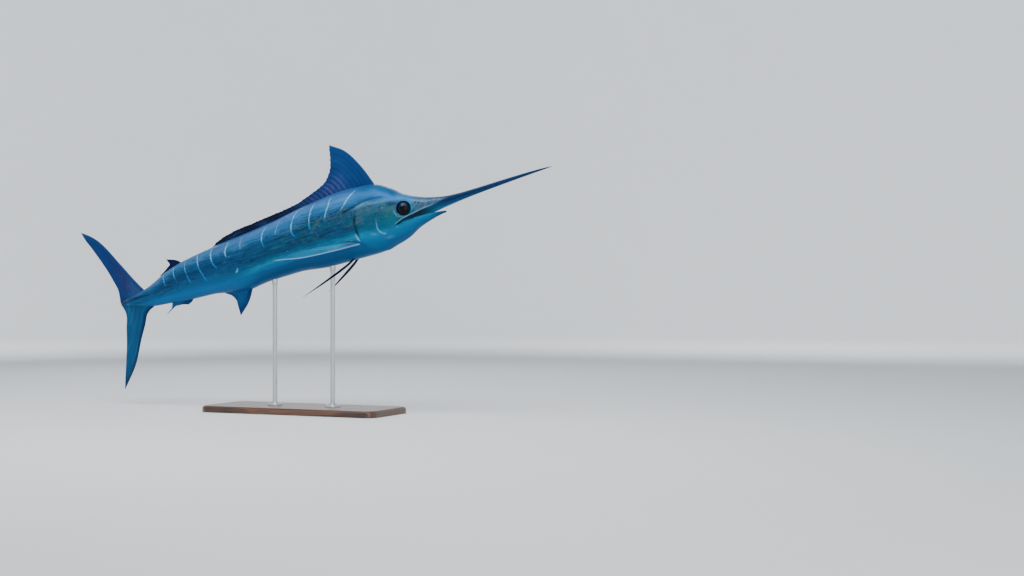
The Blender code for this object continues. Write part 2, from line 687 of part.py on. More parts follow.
def fin(name, material, root, leading, margin, rays, rows, thick, between=(0.0, 1.0), chord_way=None):
    """Fin of rays that run from its root line to its free margin.

    The rays stand as ridges in both faces, which share one pattern of triangles.
    thick holds the half thickness at the root and at the margin and the ridge height.
    chord_way runs from the leading edge to the rear of a fin that is off the middle plane.
    """
    root_half, margin_half, ridge = (in_fork_lengths(size) for size in thick)
    columns = np.linspace(between[0], between[1], 2 * rays - 1)
    fractions = np.linspace(0.0, 1.0, rows + 1)
    starts, ends = path(root, columns), path(margin, columns)
    edge = path(leading, fractions)
    chord = edge[0] + (edge[-1] - edge[0]) * fractions[:, None]
    bow = edge - chord
    full = np.linalg.norm(edge[-1] - edge[0])
    normals = np.tile((0.0, 1.0, 0.0), (rows + 1, 1))
    if chord_way is not None:
        normals = blade_normals(leading, chord_way, fractions)
    bm = bmesh.new()
    faces = {1: [], -1: []}
    for i, (start, end) in enumerate(zip(starts, ends)):
        share = np.linalg.norm(end - start) / full
        middle = start + (end - start) * fractions[:, None] + bow * share
        half = margin_half + (root_half - margin_half) * (1 - fractions) ** 1.5
        if i % 2 == 0:
            half = half + ridge * (1 - 0.6 * fractions)
        for side in (1, -1):
            spots = posed(middle + side * normals * half[:, None])
            faces[side].append([bm.verts.new(co) for co in spots])
    last_column, last_row = len(columns) - 1, rows
    for side in (1, -1):
        grid = faces[side]
        for i in range(last_column):
            for j in range(last_row):
                a, b, c, d = grid[i][j], grid[i + 1][j], grid[i + 1][j + 1], grid[i][j + 1]
                bm.faces.new((a, b, c))
                bm.faces.new((a, c, d))
    border = [(i, 0) for i in range(last_column)] + [(last_column, j) for j in range(last_row)]
    border += [(i, last_row) for i in range(last_column, 0, -1)] + [(0, j) for j in range(last_row, 0, -1)]
    for (i, j), (k, m) in zip(border, border[1:] + border[:1]):
        near_left, near_right = faces[1][i][j], faces[-1][i][j]
        far_left, far_right = faces[1][k][m], faces[-1][k][m]
        bm.faces.new((near_left, near_right, far_right))
        bm.faces.new((near_left, far_right, far_left))
    return add_object(name, bm, material, smooth_angle=60.0)


def make_median_fins(materials):
    fins = []
    for name, outline, rays, rows, blade, between in MEDIAN_FINS:
        lines = [median(outline[line]) for line in ("root", "leading", "margin")]
        fins.append(fin(name, materials["fin"], *lines, rays, rows, blade, between))
    return fins


def make_paired_fins(materials):
    fins = []
    for name, outline, rays, rows, blade in PAIRED_FINS:
        for word, side in (("left", 1), ("right", -1)):
            shape = {line: np.array(points) * (1, side, 1) for line, points in outline.items()}
            fins.append(fin(
                f"{name}_{word}", materials["fin"], shape["root"], shape["leading"], shape["margin"],
                rays, rows, blade, chord_way=shape["chord_way"]))
    return fins


# Stand

def rounded_rectangle(length, width, radius, height):
    corners = ((1, 1, 0), (-1, 1, 90), (-1, -1, 180), (1, -1, 270))
    points = []
    for x_side, y_side, start in corners:
        for turn in np.radians(start + np.linspace(0, 90, 7)):
            x = x_side * (length / 2 - radius) + radius * math.cos(turn)
            y = y_side * (width / 2 - radius) + radius * math.sin(turn)
            points.append((x, y, height))
    return np.array(points)


def as_given(points):
    return np.asarray(points, dtype=float)


def make_stand(materials):
    top_length, top_width = BASE_LENGTH - 2 * BASE_CHAMFER, BASE_WIDTH - 2 * BASE_CHAMFER
    outlines = [
        rounded_rectangle(BASE_LENGTH, BASE_WIDTH, BASE_CORNER, 0.0),
        rounded_rectangle(BASE_LENGTH, BASE_WIDTH, BASE_CORNER, BASE_THICKNESS - BASE_CHAMFER),
        rounded_rectangle(top_length, top_width, BASE_CORNER - BASE_CHAMFER, BASE_THICKNESS),
    ]
    loft("stand_base", outlines, materials["stand_base"], place=as_given)
    rods = []
    for end, top in ROD_TOPS.items():
        x, y, top_height = top + MID_BODY
        foot = BASE_THICKNESS + FACE_GAP
        inside = top_height + ROD_SUNK
        profile = (
            (ROD_FOOT_RADIUS, foot), (ROD_FOOT_RADIUS, foot + ROD_FOOT_HEIGHT - ROD_FOOT_CHAMFER),
            (ROD_FOOT_RADIUS - ROD_FOOT_CHAMFER, foot + ROD_FOOT_HEIGHT),
            (ROD_RADIUS, foot + ROD_FOOT_HEIGHT), (ROD_RADIUS, inside))
        turns = np.linspace(0, 2 * math.pi, 20, endpoint=False)
        rings = [
            np.array([(x + radius * math.cos(a), y + radius * math.sin(a), height) for a in turns])
            for radius, height in profile]
        rods.append(loft("stand_rod_" + end, rings, materials["stand_rod"], place=as_given))
    return rods


def main():
    clear_scene()
    materials = {
        "skin": make_material("skin", (0.05, 0.17, 0.30), 0.35),
        "bill": make_material("bill", (0.05, 0.12, 0.20), 0.45),
        "fin": make_material("fin", (0.02, 0.06, 0.18), 0.45),
        "eye": make_material("eye", (0.01, 0.01, 0.015), 0.10),
        "stand_base": make_material("stand_base", (0.10, 0.055, 0.03), 0.45),
        "stand_rod": make_material("stand_rod", (0.55, 0.55, 0.56), 0.30, 1.0),
    }
    gap = in_fork_lengths(FACE_GAP)
    stalk_rows = trunk_rows(STALK_END, STALK_FRONT, 11)
    rear_rows = trunk_rows(STALK_FRONT + gap, TORSO_SPLIT, 9)
    front_rows = front_torso_rows(9)
    gill_tip = (GILL_CENTRE - gap, 0.0, 0.01)
    stalk = loft("tail_stalk", stalk_rows, materials["skin"])
    loft("torso_rear", rear_rows, materials["skin"])
    loft("torso_front", front_rows, materials["skin"], last_tip=gill_tip)
    combine(stalk, make_keels(0.0), "UNION")
    make_head(materials)
    make_bill(materials)
    make_lower_jaw(materials)

    swollen_trunk = loft("trunk_tool", stalk_rows + rear_rows + front_rows, last_tip=gill_tip)
    grow(swollen_trunk, FACE_GAP)
    keel_tools = make_keels(FACE_GAP)
    for solid in make_median_fins(materials) + make_paired_fins(materials):
        tools = [swollen_trunk] + (keel_tools if solid.name.startswith("caudal") else [])
        solver = "MANIFOLD" if solid.name.startswith("pelvic") else "EXACT"
        combine(solid, tools, "DIFFERENCE", remove=False, solver=solver)
    for rod in make_stand(materials):
        combine(rod, [swollen_trunk], "DIFFERENCE", remove=False)
    for tool in [swollen_trunk] + keel_tools:
        bpy.data.objects.remove(tool, do_unlink=True)


main()
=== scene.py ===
import math

import bpy
import numpy as np
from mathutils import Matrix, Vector


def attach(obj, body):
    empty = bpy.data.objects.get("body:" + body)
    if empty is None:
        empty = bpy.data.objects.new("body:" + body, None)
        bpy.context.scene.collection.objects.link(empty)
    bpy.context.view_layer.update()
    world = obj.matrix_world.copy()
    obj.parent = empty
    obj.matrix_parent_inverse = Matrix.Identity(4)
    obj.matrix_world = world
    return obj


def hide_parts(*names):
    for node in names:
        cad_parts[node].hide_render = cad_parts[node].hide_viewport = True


# A life-size blue marlin on a plain stand: skin, fins, eyes and stand are built round the frame.
# The fish is laid out straight first, then posed. A place in the layout is (s, y, z) in fork
# lengths: s from the fork of the tail (0) to the tip of the lower jaw (1), y left, z up.

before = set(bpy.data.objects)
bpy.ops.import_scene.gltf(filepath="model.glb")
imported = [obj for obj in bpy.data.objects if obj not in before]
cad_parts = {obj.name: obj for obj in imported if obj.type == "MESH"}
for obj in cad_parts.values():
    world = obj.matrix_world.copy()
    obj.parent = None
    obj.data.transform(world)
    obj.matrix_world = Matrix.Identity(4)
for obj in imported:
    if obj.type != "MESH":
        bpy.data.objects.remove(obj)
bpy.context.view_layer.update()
print("frame loaded,", len(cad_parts), "solids")

body = {
    "forkLength": 2.4,
    "midHeight": 0.95,
    "pitchUp": math.radians(14.8),
    "leanRight": math.radians(5.8),
    "tailSwing": math.radians(7.0),
    "headSwing": math.radians(3.0),
    "midStation": 0.5,
    "neckStation": 0.82,
    "stalkEnd": 0.02,
    "torsoSplit": 0.56,
    "mouthCorner": 0.872,
    "billStart": 0.955,
    "jawTip": 1.0,
    "billTip": 1.288,
    "rodStations": {"front": 0.665, "rear": 0.495},
    "widestShare": 0.55,
    "upperPower": 2.15,
    "lowerPower": 2.0,
    "lipAngle": math.radians(-27.0),
    "flatUnderside": 0.12,
    "palateFade": 0.05,
    "jawSwellLength": 0.06,
}
outline = {
    "back": (
        (0.02, 0.0045), (0.06, 0.01), (0.1, 0.016), (0.138, 0.0265), (0.18, 0.041),
        (0.24, 0.054), (0.34, 0.0645), (0.44, 0.07), (0.54, 0.0785), (0.64, 0.0905),
        (0.74, 0.097), (0.796, 0.094), (0.838, 0.088), (0.872, 0.069), (0.9, 0.047),
        (0.93, 0.0315), (0.968, 0.018), (1.02, 0.008), (1.06, 0.0058), (1.11, 0.0052),
        (1.16, 0.0051), (1.205, 0.0047), (1.244, 0.0037), (1.272, 0.0022), (1.288, 0.0004)),
    "belly": (
        (0.02, -0.0075), (0.06, -0.02), (0.1, -0.032), (0.17, -0.04), (0.246, -0.048),
        (0.31, -0.052), (0.36, -0.06), (0.42, -0.067), (0.49, -0.0625), (0.571, -0.063),
        (0.657, -0.073), (0.74, -0.0755), (0.799, -0.077), (0.858, -0.069), (0.888, -0.061),
        (0.922, -0.046), (0.952, -0.0375), (0.981, -0.0315), (1.0, -0.0288)),
    "halfWidth": (
        (0.02, 0.0038), (0.06, 0.0105), (0.1, 0.0145), (0.16, 0.0195), (0.24, 0.0265),
        (0.34, 0.0355), (0.44, 0.0435), (0.54, 0.0485), (0.64, 0.0515), (0.74, 0.0525),
        (0.8, 0.0505), (0.84, 0.046), (0.872, 0.04), (0.906, 0.0325), (0.94, 0.0245),
        (0.97, 0.0185), (1.0, 0.0145), (1.05, 0.0102), (1.1, 0.0076), (1.15, 0.006),
        (1.205, 0.0043), (1.244, 0.0031), (1.272, 0.0019), (1.288, 0.0004)),
    "mouthRoof": (
        (0.872, -0.0262), (0.9, -0.0222), (0.93, -0.02), (0.955, -0.0192), (0.978, -0.018),
        (1.005, -0.016), (1.03, -0.0135), (1.05, -0.0117), (1.1, -0.0084), (1.15, -0.006),
        (1.205, -0.0036), (1.244, -0.0022), (1.272, -0.0012), (1.288, -0.0004)),
    "jawEdge": (
        (0.872, -0.0265), (0.9, -0.0228), (0.93, -0.0207), (0.957, -0.0202), (0.984, -0.0226),
        (1.0, -0.0252)),
    "jawNarrowing": (
        (0.872, 1.0), (0.9, 0.95), (0.93, 0.84), (0.96, 0.64), (0.985, 0.38), (1.0, 0.12)),
    # the gill opening as (angle round the section in degrees, station)
    "gillEdge": (
        (-90, 0.835), (-70, 0.808), (-51, 0.789), (-38, 0.782), (-20, 0.777), (-4, 0.779),
        (14, 0.786), (40, 0.806), (65, 0.832), (90, 0.85)),
}


# Curves through a few points

def smoothLine(table, at):
    places, values = np.array(table, dtype=float).T
    steps = np.diff(places)
    rises = np.diff(values) / steps
    sameWay = rises[:-1] * rises[1:] > 0
    before = np.where(sameWay, rises[:-1], 1.0)
    after = np.where(sameWay, rises[1:], 1.0)
    weightBefore = steps[:-1] + 2 * steps[1:]
    weightAfter = 2 * steps[:-1] + steps[1:]
    mean = (weightBefore + weightAfter) / (weightBefore / before + weightAfter / after)
    slopes = np.concatenate([rises[:1], np.where(sameWay, mean, 0.0), rises[-1:]])
    at = np.clip(np.asarray(at, dtype=float), places[0], places[-1])
    k = np.clip(np.searchsorted(places, at) - 1, 0, len(steps) - 1)
    width = steps[k]
    t = (at - places[k]) / width
    return (
        values[k] * (1 + 2 * t) * (1 - t) ** 2 + values[k + 1] * t * t * (3 - 2 * t)
        + width * (slopes[k] * t * (1 - t) ** 2 + slopes[k + 1] * t * t * (t - 1)))


def pathAlong(points, at):
    points = np.array(points, dtype=float)
    reach = np.concatenate([[0.0], np.cumsum(np.linalg.norm(np.diff(points, axis=0), axis=1))])
    reach /= reach[-1]
    return np.stack([smoothLine(np.stack([reach, points[:, i]], axis=1), at) for i in range(3)], axis=-1)


def ease(share):
    share = np.clip(share, 0.0, 1.0)
    return share * share * (3 - 2 * share)


def bump(distance, width):
    return np.exp(-(distance / width) ** 2)


def fadeFrom(at, start, over):
    return ease((at - start) / over)


def span(at, start, startOver, end, endOver):
    # 1 between start and end, fading in past the first and out past the second
    return fadeFrom(at, start, startOver) * (1 - fadeFrom(at, end, endOver))


# The pose

def headingAt(s):
    tail = np.clip((body["midStation"] - s) / body["midStation"], 0.0, 2.0)
    head = ease((s - body["midStation"]) / (body["neckStation"] - body["midStation"]))
    return body["headSwing"] * head - body["tailSwing"] * tail ** 2


def runningTotal(values, step):
    return np.concatenate([[0.0], np.cumsum((values[1:] + values[:-1]) / 2 * step)])


spineS = np.linspace(-0.3, 1.5, 1801)
spineTurn = headingAt(spineS)
spineStep = spineS[1] - spineS[0]
spineAlong = runningTotal(np.cos(spineTurn), spineStep)
spineAcross = runningTotal(np.sin(spineTurn), spineStep)
spineAlong -= np.interp(body["midStation"], spineS, spineAlong)
spineAcross -= np.interp(body["midStation"], spineS, spineAcross)
forward = np.array([math.cos(body["pitchUp"]), 0.0, math.sin(body["pitchUp"])])
levelUp = np.array([-math.sin(body["pitchUp"]), 0.0, math.cos(body["pitchUp"])])
levelLeft = np.array([0.0, 1.0, 0.0])
upWay = levelUp * math.cos(body["leanRight"]) - levelLeft * math.sin(body["leanRight"])
leftWay = levelLeft * math.cos(body["leanRight"]) + levelUp * math.sin(body["leanRight"])


def aboutMidBody(places):
    places = np.atleast_2d(places)
    turn = np.interp(places[:, 0], spineS, spineTurn)
    along = np.interp(places[:, 0], spineS, spineAlong) - np.sin(turn) * places[:, 1]
    across = np.interp(places[:, 0], spineS, spineAcross) + np.cos(turn) * places[:, 1]
    world = np.outer(along, forward) + np.outer(across, leftWay) + np.outer(places[:, 2], upWay)
    return world * body["forkLength"]


rodTops = {
    end: aboutMidBody((s, 0.0, smoothLine(outline["belly"], s)))[0]
    for end, s in body["rodStations"].items()}
standCentre = (rodTops["front"] + rodTops["rear"]) / 2
midBody = np.array([-standCentre[0], -standCentre[1], body["midHeight"]])


def posed(places):
    return aboutMidBody(places) + midBody


def inForks(metres):
    return metres / body["forkLength"]


# Sections of the body

def trunkSizes(s):
    top, bottom = smoothLine(outline["back"], s), smoothLine(outline["belly"], s)
    return top, bottom, smoothLine(outline["halfWidth"], s), bottom + body["widestShare"] * (top - bottom)


def section(s, angle, top, bottom, width, widest):
    sine, cosine = np.sin(angle), np.abs(np.cos(angle))
    power = np.where(sine >= 0, 2 / body["upperPower"], 2 / body["lowerPower"])
    reach = np.where(sine >= 0, top - widest, widest - bottom)
    y = width * cosine ** power
    z = widest + reach * np.sign(sine) * np.abs(sine) ** power
    return np.stack([s + 0 * y, y, z], axis=-1)


def lowerAngle(height, bottom, widest):
    share = np.clip((widest - height) / (widest - bottom), 0.0, 1.0)
    return float(-np.arcsin(share ** (body["lowerPower"] / 2)))


def heightRound(s, z):
    # 1 on the back, 0 at the widest line, -1 on the belly
    top, bottom, _, widest = trunkSizes(s)
    return np.where(z >= widest, (z - widest) / (top - widest), (z - widest) / (widest - bottom))


def upperJawSizes(s):
    top, width, roof = (smoothLine(outline[line], s) for line in ("back", "halfWidth", "mouthRoof"))
    headBottom = smoothLine(outline["belly"], s)
    fade = ease((s - body["mouthCorner"]) / (body["jawTip"] - body["mouthCorner"]))
    headWidest = headBottom + body["widestShare"] * (top - headBottom)
    billWidest = roof + body["widestShare"] * (top - roof)
    widest = headWidest + (billWidest - headWidest) * fade
    billBottom = roof - body["flatUnderside"] * (widest - roof)
    return top, headBottom + (billBottom - headBottom) * fade, width, widest


def jawSide(s, z):
    # half width of the head's side ahead of the mouth's corner
    top, bottom, width, widest = upperJawSizes(s)
    above = z >= widest
    reach = np.where(above, top - widest, widest - bottom)
    power = np.where(above, body["upperPower"], body["lowerPower"])
    share = np.clip(np.abs(z - widest) / reach, 0.0, 1.0)
    return width * (1 - share ** power) ** (1 / power)


def awayFrom(line, s, z):
    # distance in metres from each (s, z) to a line of such points, and the share of the way along it
    line = np.array(line, dtype=float)
    best = np.full(np.shape(s), 1e9)
    along = np.zeros(np.shape(s))
    for k, (start, end) in enumerate(zip(line, line[1:])):
        way = end - start
        t = np.clip(((s - start[0]) * way[0] + (z - start[1]) * way[1]) / (way @ way), 0.0, 1.0)
        distance = np.hypot(s - start[0] - way[0] * t, z - start[1] - way[1] * t) * body["forkLength"]
        nearer = distance < best
        best = np.where(nearer, distance, best)
        along = np.where(nearer, (k + t) / (len(line) - 1), along)
    return best, along


# Meshes from arrays

def makeMesh(name, points, faces, material=None, attributes=None):
    mesh = bpy.data.meshes.new(name)
    mesh.from_pydata(np.asarray(points, dtype=float).tolist(), [], faces)
    mesh.polygons.foreach_set("use_smooth", [True] * len(mesh.polygons))
    for label, values in (attributes or {}).items():
        values = np.asarray(values, dtype=np.float32)
        kind = "FLOAT_VECTOR" if values.ndim == 2 else "FLOAT"
        attribute = mesh.attributes.new(label, kind, "POINT")
        attribute.data.foreach_set("vector" if values.ndim == 2 else "value", values.ravel())
    if material:
        mesh.materials.append(material)
    mesh.update()
    piece = bpy.data.objects.new(name, mesh)
    bpy.context.scene.collection.objects.link(piece)
    return piece


def ringFaces(near, far):
    count = len(near)
    return [(near[k], far[k], far[(k + 1) % count], near[(k + 1) % count]) for k in range(count)]


def tubeFaces(rings):
    return [face for near, far in zip(rings, rings[1:]) for face in ringFaces(near, far)]


def ringNumbers(rows, count, first=0):
    # the numbers of the points of rings that follow one another
    return [list(range(first + k * count, first + (k + 1) * count)) for k in range(rows)]


def fanFaces(ring, middle, facingBack):
    count = len(ring)
    if facingBack:
        return [(ring[k], ring[(k + 1) % count], middle) for k in range(count)]
    return [(ring[(k + 1) % count], ring[k], middle) for k in range(count)]


def vertexNormals(points, faces):
    corners = np.array([face[:4] if len(face) == 4 else (*face, face[2]) for face in faces])
    diagonals = points[corners[:, 2:]] - points[corners[:, :2]]
    normal = np.cross(diagonals[:, 0], diagonals[:, 1])
    triangle = corners[:, 2] == corners[:, 3]
    a, b, c = (points[corners[triangle, k]] for k in range(3))
    normal[triangle] = np.cross(b - a, c - a)
    total = np.zeros_like(points)
    for k in range(4):
        np.add.at(total, corners[:, k], normal)
    return total / np.maximum(np.linalg.norm(total, axis=1), 1e-12)[:, None]


# Eyes: their place is needed by the skin as well

eye = {
    "station": 0.906,
    "height": 0.009,
    "radius": 0.041,
    "depth": 0.024,
    "sunk": 0.015,
    "corneaSwell": 0.0015,
    "corneaPower": 6,
    "segments": 72,
    "rings": 40,
}


def sideFrame(s, z, side):
    # world point on the side of the head, its outward normal and two ways along the skin
    nudge = 0.002
    spots = np.array([
        (s + ds, side * float(jawSide(s + ds, z + dz)), z + dz)
        for ds, dz in ((0, 0), (nudge, 0), (-nudge, 0), (0, nudge), (0, -nudge))])
    world = posed(spots)
    normal = np.cross(world[1] - world[2], world[3] - world[4]) * -side
    normal /= np.linalg.norm(normal)
    ahead = world[1] - world[2]
    ahead -= normal * (ahead @ normal)
    ahead /= np.linalg.norm(ahead)
    upward = np.cross(normal, ahead)
    if upward @ upWay < 0:
        upward = -upward
    return world[0], normal, ahead, upward


eyeFrames = {side: sideFrame(eye["station"], eye["height"], side) for side in (-1, 1)}


def acrossEye(world, side):
    # depth of points under the skin at one eye, and their distance over the skin from its middle
    spot, normal, _, _ = eyeFrames[side]
    deep = (world - spot) @ normal
    return deep, np.linalg.norm(world - spot - np.outer(deep, normal), axis=1)


# Skin

skin = {
    "segmentsAbove": 62,
    "segmentsBelow": 26,
    "palateSegments": 24,
    "stalkRows": 170,
    "shoulderRows": 96,
    "headRows": 72,
    "snoutRows": 96,
    "billRows": 78,
    "jawRows": 90,
    "crowding": 1.25,
    "mouthDepth": 0.03,
    "coverStep": 0.0045,
    "coverTopFade": (28, 16),
    "coverThroatFade": (-96, 20),
    "coverLength": 0.6,
    "coverSwell": 0.001,
    "coverSwellLength": 0.1,
    # the skin is drawn in under the edge of the gill cover, with painted shade in the slit
    "tuckDepth": 0.0022,
    "tuckWidth": 0.006,
    "slitWidth": 0.0045,
    # the rolled edge of the gill cover: (plain step forward, rolled step forward, height over the
    # cover, share of the painted shade in the slit)
    "coverEdge": (
        (0.0006, 0.0, -0.0075, 1.0), (0.0011, -0.003, -0.0055, 1.0), (0.0017, -0.0045, -0.0028, 0.35),
        (0.0023, -0.0042, -0.0006, 0.0), (0.003, -0.0028, 0.0006, 0.0), (0.004, -0.0004, 0.001, 0.0)),
    "palateArch": 0.0045,
    "jawTrough": 0.5,
    "troughStart": 0.02,
    "snoutPastBillStart": 0.03,
    "lipPastBillStart": 0.04,
    "billTipStep": 0.002,
    "jawTipStep": 0.0015,
    "jawTipDrop": 0.001,
    # rounded end between the lobes of the tail: (station, share of the stalk's size)
    "stalkTip": ((0.0072, 0.22), (0.0088, 0.46), (0.0115, 0.7), (0.015, 0.88)),
    "stalkTipEnd": 0.0066,
    "socketDepth": 0.02,
    # (distance from the eye's middle where the socket is full, length over which it ends, reach inwards)
    "socketEdge": (0.036, 0.012, 0.05),
    "nostrils": ((0.9355, 0.0145), (0.942, 0.0125)),
    "nostrilNarrowing": 0.65,
    "keelStart": 0.03,
    "keelLength": 0.075,
    "keelHeights": ((0.007, -0.0025), (-0.011, 0.004)),
    "keelEnds": (0.02, 0.98),
    "keelSwell": 0.7,
    "keelOut": 0.013,
    "keelShare": 0.95,
    "keelThickness": 0.0048,
    "keelRoundness": 2.4,
}
relief = {
    # heights and widths in metres; what starts and ends along the fish has (start, length of the
    # fade in, end, length of the fade out) as stations
    "lip": (0.002, 0.004, 0.0042),
    "lipStations": (0.868, 0.02, 0.96, 0.035),
    "groove": (-0.0026, 0.0055),
    "grooveFade": 0.6,
    "preopercle": (0.0016, 0.01),
    "behindPreopercle": -0.5,
    # (line, height, width, first station)
    "creases": (
        ("maxillaTop", -0.0012, 0.0045, body["mouthCorner"]), ("jawHinge", -0.0016, 0.004, 0.0),
        ("axil", -0.0035, 0.006, 0.0)),
    "throatRidge": (0.0012, 0.008),
    "nostril": (-0.005, 0.0034),
    "overLipLine": (0.0013, 0.003, 0.0035),
    "underLipLine": (-0.0014, 0.0, 0.0045),
    "lipLineEnd": (1.0, 0.06),
    "foldHeight": 0.0009,
    "foldSpacing": 0.0068,
    "foldSlant": 5.0,
    "foldFrom": 0.8,
    "foldStations": (0.805, 0.03, 0.885, 0.04),
    "foldAround": (0.72, 0.16),
    "sheath": (0.0028, 0.0095, 0.0045),
    "dorsalSheath": (0.325, 0.03, 0.825, 0.02),
    "analSheath": (0.335, 0.02, 0.425, 0.02),
    # shallow waves along the fish, as muscle under skin
    "waves": 14,
    "waveHeight": 0.00015,
    "waveCounts": (8, 34),
    "waveSlant": 6.6,
    "waveEnd": 0.99,
}
headLines = {
    # lines on the side of the head as (station, height)
    "temporalGroove": (
        (0.757, 0.0415), (0.766, 0.0433), (0.785, 0.0461), (0.805, 0.051), (0.818, 0.0527),
        (0.837, 0.0522), (0.86, 0.049)),
    "browBand": ((0.772, 0.0385), (0.809, 0.0462), (0.854, 0.0405), (0.9, 0.0345)),
    "preopercle": (
        (0.835, 0.0126), (0.833, -0.0043), (0.83, -0.0207), (0.833, -0.0289), (0.84, -0.0362),
        (0.85, -0.039)),
    "gillSlit": (
        (0.792, 0.0378), (0.784, 0.02), (0.779, 0.0064), (0.778, -0.0065), (0.78, -0.0206),
        (0.782, -0.0337)),
    "gillMembrane": ((0.7735, -0.015), (0.7735, -0.0263), (0.7755, -0.0402)),
    "cheekArc": ((0.854, 0.0288), (0.849, 0.0266), (0.848, 0.0175)),
    "cheekRim": (
        (0.882, 0.0169), (0.8825, 0.004), (0.887, -0.005), (0.895, -0.0095), (0.903, -0.011)),
    "browStreak": ((0.903, 0.0235), (0.884, 0.0262), (0.874, 0.029)),
    "jawHinge": ((0.872, -0.029), (0.861, -0.03), (0.853, -0.035)),
    "maxillaTop": ((0.868, -0.0215), (0.885, -0.0145), (0.915, -0.0065), (0.945, -0.0015)),
    # the pale edge over the painted shade on the underside of the upper jaw, from the corner of the mouth
    # forwards
    "lipLine": (
        (0.872, -0.0262), (0.879, -0.0216), (0.89, -0.0172), (0.901, -0.014), (0.924, -0.0103),
        (0.947, -0.0062), (0.971, -0.004), (0.989, -0.0015), (1.007, -0.0001), (1.04, 0.0016),
        (1.09, 0.0016)),
    # lower edge of the band of painted shade under the lip line
    "bandEdge": (
        (0.893, -0.0204), (0.928, -0.0186), (0.95, -0.018), (0.97, -0.0168), (0.982, -0.0156),
        (0.998, -0.0139), (1.02, -0.0118)),
    "throatUpper": ((0.803, -0.0243), (0.829, -0.0358)),
    "throatLower": ((0.831, -0.0477), (0.869, -0.0487)),
    "axil": ((0.74, -0.0312), (0.75, -0.0334), (0.758, -0.0368)),
    "axilRim": ((0.728, -0.03), (0.742, -0.0284), (0.755, -0.0302), (0.764, -0.035)),
    "keelGroove": ((0.12, -0.0019), (0.054, -0.0018), (0.02, -0.0014)),
    "scar": ((0.4155, -0.0175), (0.42, -0.016), (0.4225, -0.0115)),
}


def gillStations(angles):
    return smoothLine(outline["gillEdge"], np.degrees(angles))


def crowdedAngles(turn, crowding):
    # angles of half a ring, closer together towards the line of the mouth
    above = np.linspace(0, 1, skin["segmentsAbove"] + 1)
    below = np.linspace(0, 1, skin["segmentsBelow"] + 1)[1:]
    upper = math.pi / 2 + (turn - math.pi / 2) * (1 - (1 - above) ** crowding)
    return np.concatenate([upper, turn + (-math.pi / 2 - turn) * below ** crowding])


def bothSides(half):
    return np.vstack([half, half[-2:0:-1] * (1, -1, 1)])


def mirroredValues(values):
    return np.concatenate([values, values[-2:0:-1]])


def coverOnSide(angles):
    top, topOver = skin["coverTopFade"]
    throat, throatOver = skin["coverThroatFade"]
    degrees = np.degrees(angles)
    return ease((top - degrees) / topOver) * ease((degrees - throat) / throatOver)


def upperJawHalf(s):
    top, bottom, width, widest = upperJawSizes(s)
    roof = smoothLine(outline["mouthRoof"], s)
    lip = lowerAngle(roof, bottom, widest)
    above = np.linspace(0, 1, skin["segmentsAbove"] + 1)
    angles = math.pi / 2 + (lip - math.pi / 2) * (1 - (1 - above) ** skin["crowding"])
    return section(s, angles, top, bottom, width, widest)


def palateRow(s, lip, arch):
    # points across the roof or floor of the mouth, from the left lip to the right one
    across = np.linspace(1, -1, skin["palateSegments"] + 1)[1:-1]
    return np.stack([s + 0 * across, lip[1] * across, lip[2] + arch * (1 - across ** 2)], axis=-1)


def lowerJawHalf(s):
    _, bottom, width, headWidest = trunkSizes(s)
    edge = smoothLine(outline["jawEdge"], s)
    widest = headWidest + (edge - headWidest) * ease((s - body["mouthCorner"]) / body["jawSwellLength"])
    start = lowerAngle(edge, bottom, widest)
    below = np.linspace(0, 1, skin["segmentsBelow"] + 1)
    angles = start + (-math.pi / 2 - start) * below ** skin["crowding"]
    return section(s, angles, 0.0, bottom, width * smoothLine(outline["jawNarrowing"], s), widest)


class SkinRows:
    # collects the rows of points that the skin is made of

    def __init__(self):
        self.places, self.values, self.faces, self.count = [], [], [], 0

    def add(self, places, forwardStep=0.0, cover=0.0, lipAway=1.0, inside=0.0, slit=0.0):
        count = len(places)
        values = [np.broadcast_to(v, count) for v in (forwardStep, cover, lipAway, inside, slit)]
        self.places.append(places)
        self.values.append(np.stack(values, axis=1))
        self.count += count
        return list(range(self.count - count, self.count))

    def addRing(self, s, angles, **values):
        # a ring round the trunk, with one station or one for each angle
        s = s + 0 * angles
        both = {name: mirroredValues(value) for name, value in values.items()}
        return self.add(bothSides(section(s, angles, *trunkSizes(s))), **both)

    def close(self, ring, s, z, facingBack):
        middle = self.add(np.array([(s, 0.0, float(z))]))[0]
        self.faces += fanFaces(ring, middle, facingBack)


def trunkRings(rows):
    # rings from the tail stalk over the shoulder to the rolled edge of the gill cover
    even = crowdedAngles(body["lipAngle"], 1.0)
    rings = []
    top, bottom, width, widest = trunkSizes(body["stalkEnd"])
    for s, size in skin["stalkTip"]:
        above, below = widest + (top - widest) * size, widest - (widest - bottom) * size
        rings.append(rows.add(bothSides(section(s, even, above, below, width * size, widest))))
    for s in np.linspace(body["stalkEnd"], body["torsoSplit"], skin["stalkRows"]):
        rings.append(rows.addRing(s, even))
    gill, onSide = gillStations(even), coverOnSide(even)
    for share in np.linspace(0, 1, skin["shoulderRows"])[1:]:
        fraction = 1 - (1 - share) ** skin["crowding"]
        s = body["torsoSplit"] + (gill - body["torsoSplit"]) * fraction
        toEdge = (gill - s) * body["forkLength"]
        tuck = -skin["tuckDepth"] * bump(toEdge, skin["tuckWidth"]) * onSide
        rings.append(rows.addRing(s, even, cover=tuck, slit=bump(toEdge, skin["slitWidth"]) * onSide))
    for plain, rolled, height, slit in skin["coverEdge"]:
        rings.append(rows.addRing(
            gill + inForks(plain), even, forwardStep=inForks(rolled - plain) * onSide,
            cover=(skin["coverStep"] + height) * onSide, slit=slit * onSide))
    return rings, widest


